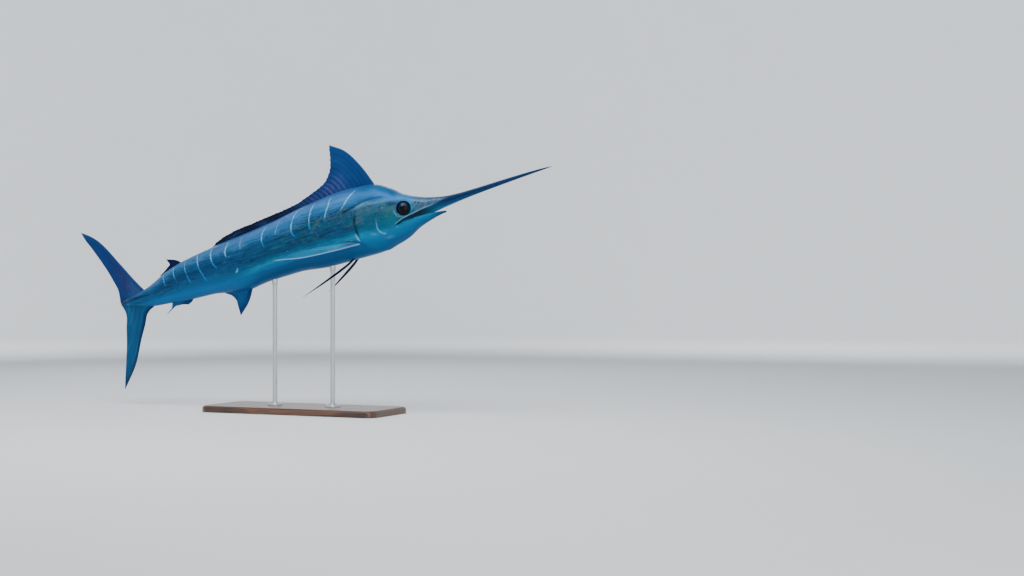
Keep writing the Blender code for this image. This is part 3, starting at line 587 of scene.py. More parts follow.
def headRings(rows):
    # rings from the edge of the gill cover to the corner of the mouth
    corner = body["mouthCorner"]
    _, jawBottom, _, jawWidest = trunkSizes(corner)
    cornerAngle = lowerAngle(smoothLine(outline["mouthRoof"], corner), jawBottom, jawWidest)
    rings = []
    for fraction in np.linspace(0, 1, skin["headRows"] + 1)[1:]:
        turn = body["lipAngle"] + (cornerAngle - body["lipAngle"]) * fraction
        angles = crowdedAngles(turn, 1 + (skin["crowding"] - 1) * fraction)
        start = gillStations(angles) + inForks(skin["coverEdge"][-1][0])
        height = skin["coverStep"] * (1 - ease(fraction / skin["coverLength"]))
        height += skin["coverSwell"] * bump(fraction, skin["coverSwellLength"])
        s = start + (corner - start) * fraction
        rings.append(rows.addRing(s, angles, cover=height * coverOnSide(angles)))
    return rings


def lipDistance(half, lip):
    return np.linalg.norm((half - lip) * body["forkLength"], axis=1)


def mouthWeb(rows, lip):
    # the back of the mouth, bowed towards the throat
    places = palateRow(body["mouthCorner"], lip, 0.0)
    places[:, 0] -= skin["mouthDepth"] * (1 - (places[:, 1] / lip[1]) ** 2)
    return rows.add(places, inside=1.0, lipAway=0.0)


def upperJawRings(rows, corner, web):
    above = skin["segmentsAbove"]
    rings = [corner[:above + 1] + web + corner[-above:]]
    snoutEnd = body["billStart"] + skin["snoutPastBillStart"]
    stations = np.concatenate([
        np.linspace(body["mouthCorner"], snoutEnd, skin["snoutRows"])[1:],
        np.linspace(snoutEnd, body["billTip"] - skin["billTipStep"], skin["billRows"])[1:]])
    for s in stations:
        outer = upperJawHalf(s)
        palateLeft = float(1 - ease((s - body["billStart"]) / body["palateFade"]))
        onBill = s > body["billStart"] + skin["lipPastBillStart"]
        away = np.where(onBill, 1.0, lipDistance(outer, outer[-1]))
        side = rows.add(outer, lipAway=away)
        roof = rows.add(palateRow(s, outer[-1], skin["palateArch"] * palateLeft), inside=palateLeft)
        rings.append(side + roof + rows.add(outer[:0:-1] * (1, -1, 1), lipAway=away[:0:-1]))
    return rings


def lowerJawRings(rows, corner, web):
    above = skin["segmentsAbove"]
    rings = [corner[above:len(corner) - above + 1] + web[::-1]]
    for s in np.linspace(body["mouthCorner"], body["jawTip"] - skin["jawTipStep"], skin["jawRows"])[1:]:
        outer = lowerJawHalf(s)
        away = lipDistance(outer, outer[0])
        deepening = ease((s - body["mouthCorner"]) / skin["troughStart"])
        trough = skin["jawTrough"] * (outer[0][2] - outer[-1][2]) * deepening
        side = rows.add(outer, lipAway=away)
        side += rows.add(outer[-2::-1] * (1, -1, 1), lipAway=away[-2::-1])
        floor = rows.add(palateRow(s, outer[0], -float(trough)), inside=1.0)
        rings.append(side + floor[::-1])
    return rings


def laySkin():
    # trunk and head first, then both jaws from the ring at the corner of the mouth
    rows = SkinRows()
    rings, stalkMiddle = trunkRings(rows)
    rings += headRings(rows)
    rows.faces += tubeFaces(rings)
    corner = rings[-1]
    lip = rows.places[-1][skin["segmentsAbove"]]
    rows.close(rings[0], skin["stalkTipEnd"], stalkMiddle, True)
    web = mouthWeb(rows, lip)
    upper = upperJawRings(rows, corner, web)
    rows.faces += tubeFaces(upper)
    rows.close(upper[-1], body["billTip"], 0.0, False)
    lower = lowerJawRings(rows, corner, web)
    rows.faces += tubeFaces(lower)
    jawTipHeight = smoothLine(outline["jawEdge"], body["jawTip"]) - skin["jawTipDrop"]
    rows.close(lower[-1], body["jawTip"], jawTipHeight, False)
    return np.vstack(rows.places), np.vstack(rows.values), rows.faces


def nostrilDistance(s, z):
    # metres to the nearer nostril; each is a short upright slit
    narrowing = skin["nostrilNarrowing"]
    away = [np.hypot(s - ns, (z - nz) * narrowing) * body["forkLength"] for ns, nz in skin["nostrils"]]
    return np.minimum(*away)


def heightOf(name, s):
    lineS, lineZ = np.array(headLines[name]).T
    return np.interp(s, lineS, lineZ)


def onUpperJaw(s, z):
    # 1 on the upper jaw and the bill, 0 on the lower jaw and behind the mouth
    between = (smoothLine(outline["mouthRoof"], s) + smoothLine(outline["jawEdge"], s)) / 2
    return ((s > body["mouthCorner"]) & ((z > between) | (s > body["jawTip"]))).astype(float)


def lineDistances(s, z):
    # for each line of the head, metres to it and the share of the way along it
    found = {name: awayFrom(line, s, z) for name, line in headLines.items()}
    return {name: pair[0] for name, pair in found.items()}, {name: pair[1] for name, pair in found.items()}


def skinHeight(s, z):
    # as heightRound, except that the bill has its own top and underside
    top, bottom, _, widest = upperJawSizes(s)
    reach = np.where(z >= widest, top - widest, widest - bottom)
    onBill = np.clip((z - widest) / np.maximum(reach, 1e-5), -1, 1)
    around = heightRound(np.clip(s, body["stalkEnd"], body["jawTip"]), z)
    share = ease((s - body["billStart"]) / body["palateFade"]) * onUpperJaw(s, z)
    return around + (onBill - around) * share


def skinRelief(places, values, lines):
    # height in metres that each point of the skin is pushed out
    s, y, z = places.T
    _, cover, lipAway, inside, _ = values.T
    away, along = lines
    fromMiddle = np.abs(y) * body["forkLength"]
    high = heightRound(np.clip(s, body["stalkEnd"], body["jawTip"]), z)

    def ridge(distance, height, width):
        return height * bump(distance, width)

    def offsetRidge(distance, height, offset, width):
        return height * bump(distance - offset, width)

    rise = offsetRidge(lipAway, *relief["lip"]) * span(s, *relief["lipStations"])
    groove = along["temporalGroove"]
    rise += ridge(away["temporalGroove"], *relief["groove"]) * (1 - relief["grooveFade"] * groove)
    edgeS, edgeZ = np.array(headLines["preopercle"]).T
    inFront = s > np.interp(-z, -edgeZ, edgeS)
    sides = np.where(inFront, 1.0, relief["behindPreopercle"])
    rise += ridge(away["preopercle"], *relief["preopercle"]) * sides
    for name, height, width, start in relief["creases"]:
        rise += ridge(away[name], height, width) * (s > start)
    for name in ("throatUpper", "throatLower"):
        rise += ridge(away[name], *relief["throatRidge"]) * np.sin(np.pi * along[name])
    rise += ridge(nostrilDistance(s, z), *relief["nostril"])
    # the edge of the upper lip stands proud of the band of painted shade under it
    onUpper = onUpperJaw(s, z) * (1 - fadeFrom(s, *relief["lipLineEnd"]))
    overLip = z > heightOf("lipLine", s)
    rise += offsetRidge(away["lipLine"], *relief["overLipLine"]) * overLip * onUpper
    rise += offsetRidge(away["lipLine"], *relief["underLipLine"]) * ~overLip * onUpper
    # folds of the gill membranes under the throat
    slant = relief["foldSlant"] * (s - relief["foldFrom"]) * body["forkLength"]
    fold = np.sin(fromMiddle / relief["foldSpacing"] + slant)
    onThroat = span(s, *relief["foldStations"]) * fadeFrom(-high, *relief["foldAround"])
    rise += relief["foldHeight"] * fold * onThroat
    rng = np.random.default_rng(7)
    for _ in range(relief["waves"]):
        wave = rng.uniform(*relief["waveCounts"])
        turn, phase, _ = rng.uniform(0, 2 * np.pi, 3)
        swell = np.sin(wave * s + relief["waveSlant"] * high * np.cos(turn) + phase)
        rise += relief["waveHeight"] * swell * (s < relief["waveEnd"])
    rise *= 1 - inside
    # sheaths of skin beside the roots of the dorsal and anal fins
    sheath = span(s, *relief["dorsalSheath"]) * (high > 0) + span(s, *relief["analSheath"]) * (high < 0)
    return cover + rise + offsetRidge(fromMiddle, *relief["sheath"]) * sheath + keelRelief(places)


def keelRelief(places):
    # two low keels on each side of the tail stalk
    s, _, z = places.T
    t = (s - skin["keelStart"]) / skin["keelLength"]
    rear, front = skin["keelEnds"]
    onKeel = (t > rear) & (t < front)
    t = np.clip(t, rear, front)
    swell = np.where(onKeel, np.sin(np.pi * t) ** skin["keelSwell"], 0.0)
    widest = trunkSizes(s)[3]
    total = np.zeros(len(s))
    for height, rise in skin["keelHeights"]:
        distance = (z - (widest + height + rise * (1 - t))) * body["forkLength"]
        keel = np.exp(-np.abs(distance / skin["keelThickness"]) ** skin["keelRoundness"])
        total = np.maximum(total, skin["keelOut"] * skin["keelShare"] * swell * keel)
    return total


marks = {
    # (line, strength, width in metres, share of the line over which its ends fade)
    # the lines of the gill slit, the axil by the pectoral fin, the groove between the tail keels and the jaw
    # hinge's crease are painted shade; the others are marks of the skin
    "dark": (
        ("gillSlit", 0.85, 0.0062, 0.3), ("browStreak", 0.62, 0.012, 0), ("cheekArc", 0.45, 0.0035, 0),
        ("axil", 0.9, 0.0055, 0), ("keelGroove", 0.7, 0.0045, 0), ("jawHinge", 0.25, 0.004, 0)),
    "pale": (
        ("cheekRim", 0.4, 0.0034, 0.25), ("browBand", 0.2, 0.01, 0.3), ("axilRim", 0.6, 0.0034, 0.4),
        ("throatUpper", 0.2, 0.007, 0.5), ("throatLower", 0.2, 0.007, 0.5)),
    "gillMembrane": (("gillMembrane", 0.75, 0.0075, 0.3),),
    "preopercle": (("preopercle", 0.85, 0.0032, 0),),
    "preopercleEnds": (0.5, 0.2),
    "scar": (("scar", 0.9, 0.0042, 0),),
    # (station, height, strength, width in metres)
    "paleSpots": ((0.857, 0.0242, 0.5, 0.0034), (0.877, -0.0293, 0.5, 0.003)),
    "tealSpots": ((0.926, 0.0085, 1.0, 0.024), (0.868, -0.01, 0.7, 0.045)),
    # strength of the painted shade in the gill slit
    "slit": 0.95,
    # painted shade along the temporal groove: strength, width, narrowing along it, fade along it
    "groove": (0.9, 0.0068, 0.0035, 0.75),
    "keels": 0.3,
    "tailEnd": (0.75, 0.01, 0.022),
    # painted shade in the nostrils: strength and width
    "nostrils": (0.9, 0.0038),
    # the band of painted shade under the pale lip line, where the upper jaw overhangs: strength, and how it
    # weakens forwards
    "band": (0.92, 0.75, 0.935, 0.05),
    "bandTop": (0.001, 0.0035),
    "bandBottom": (0.002, 0.005),
    "bandRear": (0.886, 0.012),
    "underBillEnd": (1.0, 0.06),
    "roofFrom": (0.89, 0.035),
    "jawEnd": (0.5, 0.955, 0.04),
    "lipLine": (0.62, 0.0024, 0.0026),
    "lipLineStations": (0.872, 0.006, 0.955, 0.05),
    "snoutStations": (0.918, 0.03, 0.985, 0.05),
    "snoutOverLip": (0.004, 0.006),
    "eyeReach": (0.06, 0.12),
    "paleFromEye": (0.0425, 0.004),
}


def lineMarks(group, lines, outside):
    away, along = lines
    found = []
    for name, strength, width, ends in marks[group]:
        mark = strength * bump(away[name], width) * outside
        found.append(mark * ease(np.minimum(along[name], 1 - along[name]) / ends) if ends else mark)
    return found


def spotMarks(group, s, z):
    return [
        strength * bump(np.hypot(s - station, z - height) * body["forkLength"], width)
        for station, height, strength, width in marks[group]]


def mouthMarks(s, z, inside, upper):
    # height over the lip line, the band of painted shade under it, and the blue underside of the upper jaw
    overLip = (z - heightOf("lipLine", s)) * body["forkLength"]
    overBand = (z - heightOf("bandEdge", s)) * body["forkLength"]
    bandTop, topOver = marks["bandTop"]
    bandBottom, bottomOver = marks["bandBottom"]
    underBand = ease((bandBottom - overBand) / bottomOver) * fadeFrom(s, *marks["bandRear"])
    band = ease((bandTop - overLip) / topOver) * (1 - underBand) * upper
    roof = inside * onUpperJaw(s, z) * fadeFrom(s, *marks["roofFrom"])
    below = underBand * upper * (1 - fadeFrom(s, *marks["underBillEnd"]))
    return overLip, band, np.maximum(below, roof), roof


def eyeDistance(world):
    depth, reach = marks["eyeReach"]
    nearest = np.full(len(world), 1.0)
    for side in eyeFrames:
        deep, radial = acrossEye(world, side)
        near = (np.abs(deep) < depth) & (radial < reach)
        nearest = np.where(near, np.minimum(nearest, radial), nearest)
    return nearest


def darkMarksAndShade(places, slit, lines, outside, band):
    # dark marks of the skin, and painted shade in the gill slit, the grooves, the creases, the nostrils and
    # the band under the lip line
    s, _, z = places.T
    away, along = lines
    strength, width, narrowing, fade = marks["groove"]
    groove = along["temporalGroove"]
    grooveMark = strength * bump(away["temporalGroove"], width - narrowing * groove) * (1 - fade * groove)
    tailStrength, tailStart, tailOver = marks["tailEnd"]
    nostrilStrength, nostrilWidth = marks["nostrils"]
    bandStrength, bandFade, *bandFadeFrom = marks["band"]
    jawStrength, *jawFadeFrom = marks["jawEnd"]
    onLowerJaw = (s > body["mouthCorner"]) * (1 - onUpperJaw(s, z))
    return np.max(lineMarks("dark", lines, outside) + [
        marks["slit"] * slit,
        grooveMark * outside,
        marks["keels"] * keelRelief(places) / skin["keelOut"],
        tailStrength * (1 - fadeFrom(s, tailStart, tailOver)),
        nostrilStrength * bump(nostrilDistance(s, z), nostrilWidth) * outside,
        bandStrength * band * (1 - bandFade * fadeFrom(s, *bandFadeFrom)),
        jawStrength * fadeFrom(s, *jawFadeFrom) * onLowerJaw * outside], axis=0)


def paleMarks(places, slit, lines, outside, upper, overLip):
    s, y, z = places.T
    alongEdge = lines[1]["preopercle"]
    topFade, bottomFade = marks["preopercleEnds"]
    edge = lineMarks("preopercle", lines, outside)[0]
    edge = edge * ease(alongEdge / topFade) * ease((1 - alongEdge) / bottomFade)
    strength, offset, width = marks["lipLine"]
    return np.max(lineMarks("pale", lines, outside) + spotMarks("paleSpots", s, z) + [
        edge,
        strength * bump(overLip - offset, width) * upper * span(s, *marks["lipLineStations"]),
        lineMarks("gillMembrane", lines, outside)[0] * (1 - slit),
        lineMarks("scar", lines, outside)[0] * (y < 0)], axis=0)


def markings(places, values, lines, world):
    # where the skin lies, and its marks as shares from 0 to 1
    s, _, z = places.T
    _, _, _, inside, slit = values.T
    outside = 1 - inside
    upper = onUpperJaw(s, z) * outside
    overLip, band, below, roof = mouthMarks(s, z, inside, upper)
    eyeAway = eyeDistance(world)
    pale = paleMarks(places, slit, lines, outside, upper, overLip)
    return {
        "place": places * body["forkLength"],
        "around": skinHeight(s, z),
        "inside": inside * (1 - roof),
        "darkMark": darkMarksAndShade(places, slit, lines, outside, band),
        "paleMark": pale * fadeFrom(eyeAway, *marks["paleFromEye"]),
        "snoutMark": span(s, *marks["snoutStations"]) * fadeFrom(overLip, *marks["snoutOverLip"]) * upper,
        "tealMark": np.maximum(*spotMarks("tealSpots", s, z)) * outside,
        "underMark": below,
        "eyeAway": eyeAway,
    }


def makeSkin(material):
    places, values, faces = laySkin()
    lines = lineDistances(places[:, 0], places[:, 2])
    base = posed(places)
    height = skinRelief(places, values, lines)
    shifted = places.copy()
    shifted[:, 0] += values[:, 0]
    world = posed(shifted) + vertexNormals(base, faces) * height[:, None]
    full, over, reach = skin["socketEdge"]
    for side, (_, normal, _, _) in eyeFrames.items():
        deep, radial = acrossEye(base, side)
        inSocket = (np.abs(deep) < reach) & (values[:, 3] < 0.5)
        world -= np.outer(skin["socketDepth"] * (1 - fadeFrom(radial, full, over)) * inSocket, normal)
    return makeMesh("skin", world, faces, material, markings(places, values, lines, base))


# Rim of skin round each eye

eyeRim = {
    "turns": 120,
    # (distance from the eye's middle, height over the skin)
    "profile": (
        (0.0392, -0.016), (0.0397, -0.01), (0.0401, -0.006), (0.0405, -0.003), (0.0411, -0.0008),
        (0.0421, 0.0007), (0.0437, 0.0014), (0.0458, 0.0015), (0.0482, 0.0011), (0.0512, 0.0005),
        (0.055, -0.0003), (0.06, -0.003)),
    "thickness": 0.01,
}


def skinUnderDisc(side, away, turns):
    # layout places on the side of the head that lie over given distances and turns from the eye's middle
    spot, _, ahead, upward = eyeFrames[side]
    goal = np.stack([away * np.cos(turns), away * np.sin(turns)], axis=1)

    def seen(sz):
        places = np.stack([sz[:, 0], side * jawSide(sz[:, 0], sz[:, 1]), sz[:, 1]], axis=1)
        offset = posed(places) - spot
        return places, np.stack([offset @ ahead, offset @ upward], axis=1)

    sz = np.array([eye["station"], eye["height"]]) + goal / body["forkLength"]
    for _ in range(6):
        _, now = seen(sz)
        sz = sz + (goal - now) / body["forkLength"]
    places, _ = seen(sz)
    return places


def makeEyeRim(side, word, material):
    _, normal, _, _ = eyeFrames[side]
    turns = np.linspace(0, 2 * np.pi, eyeRim["turns"], endpoint=False)
    places, points, away = [], [], []

    def addRow(row, height, radius):
        places.append(row)
        points.append(posed(row) + normal * height)
        away.append(np.full(len(turns), radius))

    for radius, height in eyeRim["profile"]:
        addRow(skinUnderDisc(side, np.full(len(turns), radius), turns), height, radius)
    # the underside follows the same circles a little lower, so that the rim is a closed ring
    for row, (radius, height) in zip(places[:0:-1], eyeRim["profile"][:0:-1]):
        addRow(row, min(height, 0.0) - eyeRim["thickness"], radius)
    rings = ringNumbers(len(points), len(turns))
    faces = tubeFaces(rings + rings[:1])
    points, places = np.vstack(points), np.vstack(places)
    if side > 0:
        faces = [face[::-1] for face in faces]
    values = np.zeros((len(places), 5))
    values[:, 2] = 1.0
    found = markings(places, values, lineDistances(places[:, 0], places[:, 2]), posed(places))
    found["eyeAway"] = np.concatenate(away)
    return makeMesh("eyeRim." + word, points, faces, material, found)


def makeEye(side, word, material):
    spot, normal, ahead, upward = eyeFrames[side]
    centre = spot - normal * eye["sunk"]
    points, spots, faces = [centre + normal * (eye["depth"] + eye["corneaSwell"])], [(0.0, 0.0, 0.0)], []
    turns = np.linspace(0, 2 * np.pi, eye["segments"], endpoint=False)
    polar = np.linspace(0, np.pi, eye["rings"] + 1)[1:-1]
    for t in polar:
        swell = eye["corneaSwell"] * max(math.cos(t), 0.0) ** eye["corneaPower"]
        middle = centre + normal * (eye["depth"] * math.cos(t) + swell)
        for a in turns:
            outward = ahead * math.cos(a) + upward * math.sin(a)
            points.append(middle + outward * eye["radius"] * math.sin(t))
            spots.append((math.cos(a) * math.sin(t), math.sin(a) * math.sin(t), float(t > np.pi / 2)))
    points.append(centre - normal * eye["depth"])
    spots.append((0.0, 0.0, 1.0))
    rings = ringNumbers(len(polar), eye["segments"], 1)
    faces += tubeFaces(rings)
    faces += fanFaces(rings[0], 0, True)
    faces += fanFaces(rings[-1], len(points) - 1, False)
    # the rings run from the front of the eye backwards, so the winding depends on the side
    a, b, c = (np.array(points[i]) for i in faces[-1])
    if np.cross(b - a, c - a) @ normal > 0:
        faces = [face[::-1] for face in faces]
    return makeMesh("eye." + word, np.array(points), faces, material, {"irisPlace": np.array(spots)})


# Fins. Root, leading edge and free margin are lines of (station, height), or of
# (station, left, height) on the paired fins, which have a chordWay.

def onMiddle(points):
    return [(s, 0.0, z) for s, z in points]


finDefaults = {
    "perRay": 8,
    "ripples": 1.0,
    "calm": 0.0,
    "jag": 0.0,
    "branching": 1.0,
}
fins = {
    "dorsalFin": {
        "replaces": ("dorsal_fin_front", "dorsal_fin_rear"),
        "root": onMiddle(((0.84, 0.078), (0.74, 0.086), (0.6, 0.074), (0.46, 0.062), (0.345, 0.054))),
        "leading": onMiddle(((0.84, 0.078), (0.8145, 0.141), (0.783, 0.19), (0.745, 0.217))),
        "margin": onMiddle((
            (0.745, 0.217), (0.734, 0.169), (0.721, 0.147), (0.7, 0.129), (0.659, 0.1155),
            (0.61, 0.1035), (0.563, 0.0985), (0.5, 0.094), (0.41, 0.0872), (0.36, 0.0762),
            (0.332, 0.063))),
        "rays": 40, "rows": 56, "blade": (0.006, 0.0008), "ridge": 0.001,
        "ripple": 0.003, "ripples": 5.3, "scallop": 0.0036, "jag": 0.0065, "calm": 0.7,
        "branching": 0.0, "look": "dorsal"},
    "caudalFinUpper": {
        "replaces": ("caudal_fin_upper",),
        "root": onMiddle(((0.102, 0.004), (0.07, 0.001), (0.036, 0.0002))),
        "leading": onMiddle((
            (0.102, 0.004), (0.08, 0.035), (0.039, 0.101), (-0.008, 0.172), (-0.035, 0.1965),
            (-0.067, 0.216))),
        "margin": onMiddle((
            (-0.067, 0.216), (-0.059, 0.195), (-0.042, 0.163), (-0.022, 0.122), (-0.002, 0.07),
            (0.0075, 0.033), (0.004, 0.0002))),
        "rays": 26, "rows": 60, "blade": (0.01, 0.0009), "ridge": 0.001,
        "ripple": 0.0012, "ripples": 1.2, "scallop": 0.001, "look": "caudalUpper"},
    "caudalFinLower": {
        "replaces": ("caudal_fin_lower",),
        "root": onMiddle(((0.118, -0.016), (0.07, -0.003), (0.036, -0.0002))),
        "leading": onMiddle((
            (0.118, -0.016), (0.112, -0.0345), (0.097, -0.0395), (0.081, -0.05), (0.067, -0.0715),
            (0.043, -0.103), (-0.003, -0.167), (-0.067, -0.224))),
        "margin": onMiddle((
            (-0.067, -0.224), (-0.043, -0.172), (-0.02, -0.122), (-0.001, -0.07), (0.012, -0.03),
            (0.004, -0.0002))),
        "rays": 26, "rows": 60, "blade": (0.01, 0.0009), "ridge": 0.001,
        "ripple": 0.0012, "ripples": 1.2, "scallop": 0.001, "look": "caudalLower"},
    "secondDorsalFin": {
        "replaces": ("second_dorsal_fin",),
        "root": onMiddle(((0.245, 0.045), (0.205, 0.036), (0.175, 0.028))),
        "leading": onMiddle(((0.245, 0.045), (0.221, 0.0635), (0.191, 0.0735))),
        "margin": onMiddle(((0.191, 0.0735), (0.198, 0.058), (0.188, 0.0515), (0.158, 0.037))),
        "rays": 7, "perRay": 10, "rows": 26, "blade": (0.005, 0.0007), "ridge": 0.0008,
        "ripple": 0.0008, "scallop": 0.0015, "look": "small"},
    "firstAnalFin": {
        "replaces": ("anal_fin_first",),
        "root": onMiddle(((0.432, -0.056), (0.39, -0.052), (0.35, -0.046))),
        "leading": onMiddle(((0.432, -0.056), (0.405, -0.095), (0.368, -0.125))),
        "margin": onMiddle(((0.368, -0.125), (0.368, -0.088), (0.358, -0.069), (0.34, -0.058))),
        "rays": 14, "perRay": 10, "rows": 36, "blade": (0.005, 0.0007), "ridge": 0.0009,
        "ripple": 0.0012, "ripples": 1.5, "scallop": 0.002, "look": "anal"},
    "secondAnalFin": {
        "replaces": ("anal_fin_second",),
        "root": onMiddle(((0.246, -0.038), (0.21, -0.034), (0.178, -0.03))),
        "leading": onMiddle(((0.246, -0.038), (0.238, -0.051), (0.222, -0.0575))),
        "margin": onMiddle(((0.222, -0.0575), (0.202, -0.0525), (0.178, -0.0515), (0.138, -0.069))),
        "rays": 7, "perRay": 10, "rows": 24, "blade": (0.005, 0.0007), "ridge": 0.0008,
        "ripple": 0.0006, "scallop": 0.0012, "look": "anal"},
    "pectoralFin": {
        "replaces": ("pectoral_fin",), "chordWay": (0.0, -0.87, 0.5),
        "root": ((0.774, 0.042, -0.044), (0.76, 0.042, -0.038), (0.742, 0.042, -0.032)),
        "leading": (
            (0.774, 0.042, -0.044), (0.735, 0.066, -0.044), (0.655, 0.098, -0.04), (0.574, 0.118, -0.025)),
        "margin": (
            (0.574, 0.118, -0.025), (0.615, 0.092, -0.022), (0.66, 0.072, -0.022), (0.705, 0.055, -0.026),
            (0.728, 0.048, -0.03)),
        "rays": 20, "rows": 56, "blade": (0.006, 0.0008), "ridge": 0.0008,
        "ripple": 0.001, "scallop": 0.0015, "look": "pectoral"},
    "pelvicFin": {
        "replaces": ("pelvic_fin",), "chordWay": (-0.3, -0.2, 0.93),
        "root": ((0.748, 0.007, -0.066), (0.742, 0.008, -0.066), (0.735, 0.009, -0.066)),
        "leading": (
            (0.748, 0.007, -0.066), (0.716, 0.019, -0.0855), (0.657, 0.043, -0.1095), (0.593, 0.069, -0.131)),
        "margin": (
            (0.593, 0.069, -0.131), (0.655, 0.042, -0.105), (0.709, 0.019, -0.082),
            (0.729, 0.012, -0.0735)),
        "rays": 3, "perRay": 12, "rows": 60, "blade": (0.0035, 0.0008), "ridge": 0.0007,
        "ripple": 0.0, "scallop": 0.0, "branching": 0.0, "look": "pelvic"},
}


blade = {
    # where the rays of a long low ridge start to stand less proud, and over what length
    "ridgeFrom": (0.24, 0.12),
    # (share, turns, phase, turn towards the margin) of the two waves of the ripple
    "waves": ((0.6, 1.0, 0.0, 2.2), (0.4, 2.7, 1.3, 1.4)),
    "waveGrowth": 1.5,
    "thinning": 1.5,
    # (length in ray gaps or in shares of a ray, least thickness squared) of the rounded edges
    "sideEdge": (0.6, 0.12),
    "tipEdge": (0.06, 0.16),
    "firstRay": 0.5,
    "deepestNotch": 0.2,
    "chordStep": 0.04,
}


def bladeNormals(leading, chordWay, shares):
    step = blade["chordStep"]
    inner = np.clip(shares, step, 1 - step)
    along = pathAlong(leading, inner + step) - pathAlong(leading, inner - step)
    normal = np.cross(along, chordWay)
    return normal / np.linalg.norm(normal, axis=1)[:, None]


def rounded(share, least):
    return np.sqrt(np.maximum(1 - (1 - share) ** 2, least))


def finBlank(name, fin, side):
    # smooth closed blade of a fin, with its place across and along the rays kept for the ribs
    flip = np.array((1, side, 1))
    root, leading, margin = (np.array(fin[line]) * flip for line in ("root", "leading", "margin"))
    rootHalf, marginHalf = (inForks(size) for size in fin["blade"])
    gaps = fin["rays"] - 1
    across = np.linspace(0, 1, gaps * fin["perRay"] + 1)
    shares = np.linspace(0, 1, fin["rows"] + 1)
    starts, ends = pathAlong(root, across), pathAlong(margin, across)
    edge = pathAlong(leading, shares)
    bow = edge - (edge[0] + (edge[-1] - edge[0]) * shares[:, None])
    full = np.linalg.norm(edge[-1] - edge[0])
    normals = np.tile((0.0, 1.0, 0.0), (len(shares), 1))
    if "chordWay" in fin:
        normals = bladeNormals(leading, np.array(fin["chordWay"]) * flip, shares) * side
    hollow = 1 - (np.abs((across * gaps) % 1.0 - 0.5) * 2) ** 2
    # the rays of a long low ridge stand less proud and end unevenly
    onRidge = fadeFrom(across, *blade["ridgeFrom"])
    calm = 1 - fin["calm"] * onRidge
    jag = np.random.default_rng(11).uniform(0, fin["jag"], fin["rays"])
    notch = fin["scallop"] * hollow + onRidge * np.interp(across * gaps, np.arange(fin["rays"]), jag)
    sideLength, sideLeast = blade["sideEdge"]
    tipLength, tipLeast = blade["tipEdge"]
    toTip = np.clip((1 - shares) / tipLength, 0, 1)
    front, back, place = [], [], []
    for i, (start, end) in enumerate(zip(starts, ends)):
        length = np.linalg.norm(end - start)
        f = shares * (1 - min(inForks(notch[i]) / max(length, 1e-6), blade["deepestNotch"]))
        bowed = np.stack([np.interp(f, shares, bow[:, k]) for k in range(3)], axis=1)
        middle = start + (end - start) * f[:, None] + bowed * (length / full)
        turn = 2 * np.pi * fin["ripples"] * across[i]
        wave = sum(
            size * np.sin(turns * turn + phase + out * f) for size, turns, phase, out in blade["waves"])
        wave = inForks(fin["ripple"]) * calm[i] * wave * f ** blade["waveGrowth"]
        middle = middle + normals * wave[:, None]
        fromEdge = np.minimum(across[i], 1 - across[i]) * gaps
        half = marginHalf + (rootHalf - marginHalf) * (1 - f) ** blade["thinning"]
        half = half * rounded(min(fromEdge / sideLength, 1.0), sideLeast) * rounded(toTip, tipLeast)
        front.append(middle + normals * half[:, None])
        back.append(middle - normals * half[:, None])
        inner = min(fromEdge / blade["firstRay"], 1.0) * ease(toTip) * calm[i]
        place.append(np.stack([np.full(len(f), across[i]), shares, inner], axis=1))
    points = posed(np.vstack(front + back))
    faces = bladeFaces(points, len(across), len(shares))
    return makeMesh(name, points, faces, None, {"finPlace": np.vstack(place + place)})


def bladeFaces(points, columns, rows):
    # both faces of a blade and the strip round its border
    front = np.arange(columns * rows).reshape(columns, rows)
    back = front + columns * rows
    faces = []
    for i in range(columns - 1):
        for j in range(rows - 1):
            faces.append((front[i, j], front[i, j + 1], front[i + 1, j + 1], front[i + 1, j]))
            faces.append((back[i, j], back[i + 1, j], back[i + 1, j + 1], back[i, j + 1]))
    border = [(i, 0) for i in range(columns - 1)] + [(columns - 1, j) for j in range(rows - 1)]
    border += [(i, rows - 1) for i in range(columns - 1, 0, -1)] + [(0, j) for j in range(rows - 1, 0, -1)]
    for now, after in zip(border, border[1:] + border[:1]):
        faces.append((front[now], front[after], back[after], back[now]))
    # the blade's two faces swap with the side and the fin's direction, so its volume tells the winding
    a, b, c, d = (points[np.array(faces)[:, k]] - points.mean(axis=0) for k in range(4))
    volume = np.einsum("ij,ij->", a, np.cross(b, c)) + np.einsum("ij,ij->", a, np.cross(c, d))
    return [tuple(map(int, face[::-1] if volume < 0 else face)) for face in faces]


# Node trees: short helpers

def feed(tree, value, socket):
    if isinstance(value, bpy.types.NodeSocket):
        tree.links.new(value, socket)
    elif isinstance(value, tuple) and len(value) == 3 and socket.type == "RGBA":
        socket.default_value = (*value, 1.0)
    else:
        socket.default_value = value


def addNode(tree, kind, **inputs):
    node = tree.nodes.new(kind)
    for label, value in inputs.items():
        feed(tree, value, node.inputs[label.replace("_", " ")])
    return node


def calc(tree, operation, *values, clamp=False):
    node = tree.nodes.new("ShaderNodeMath")
    node.operation = operation
    node.use_clamp = clamp
    for value, socket in zip(values, node.inputs):
        feed(tree, value, socket)
    return node.outputs[0]


def times(tree, *values):
    total = values[0]
    for value in values[1:]:
        total = calc(tree, "MULTIPLY", total, value)
    return total


def scaled(tree, value, factor, more, clamp=False):
    return calc(tree, "MULTIPLY_ADD", value, factor, more, clamp=clamp)


def wandering(tree, value, noiseValue, amount):
    # a value that noise moves up and down
    return scaled(tree, calc(tree, "SUBTRACT", noiseValue, 0.5), amount, value)


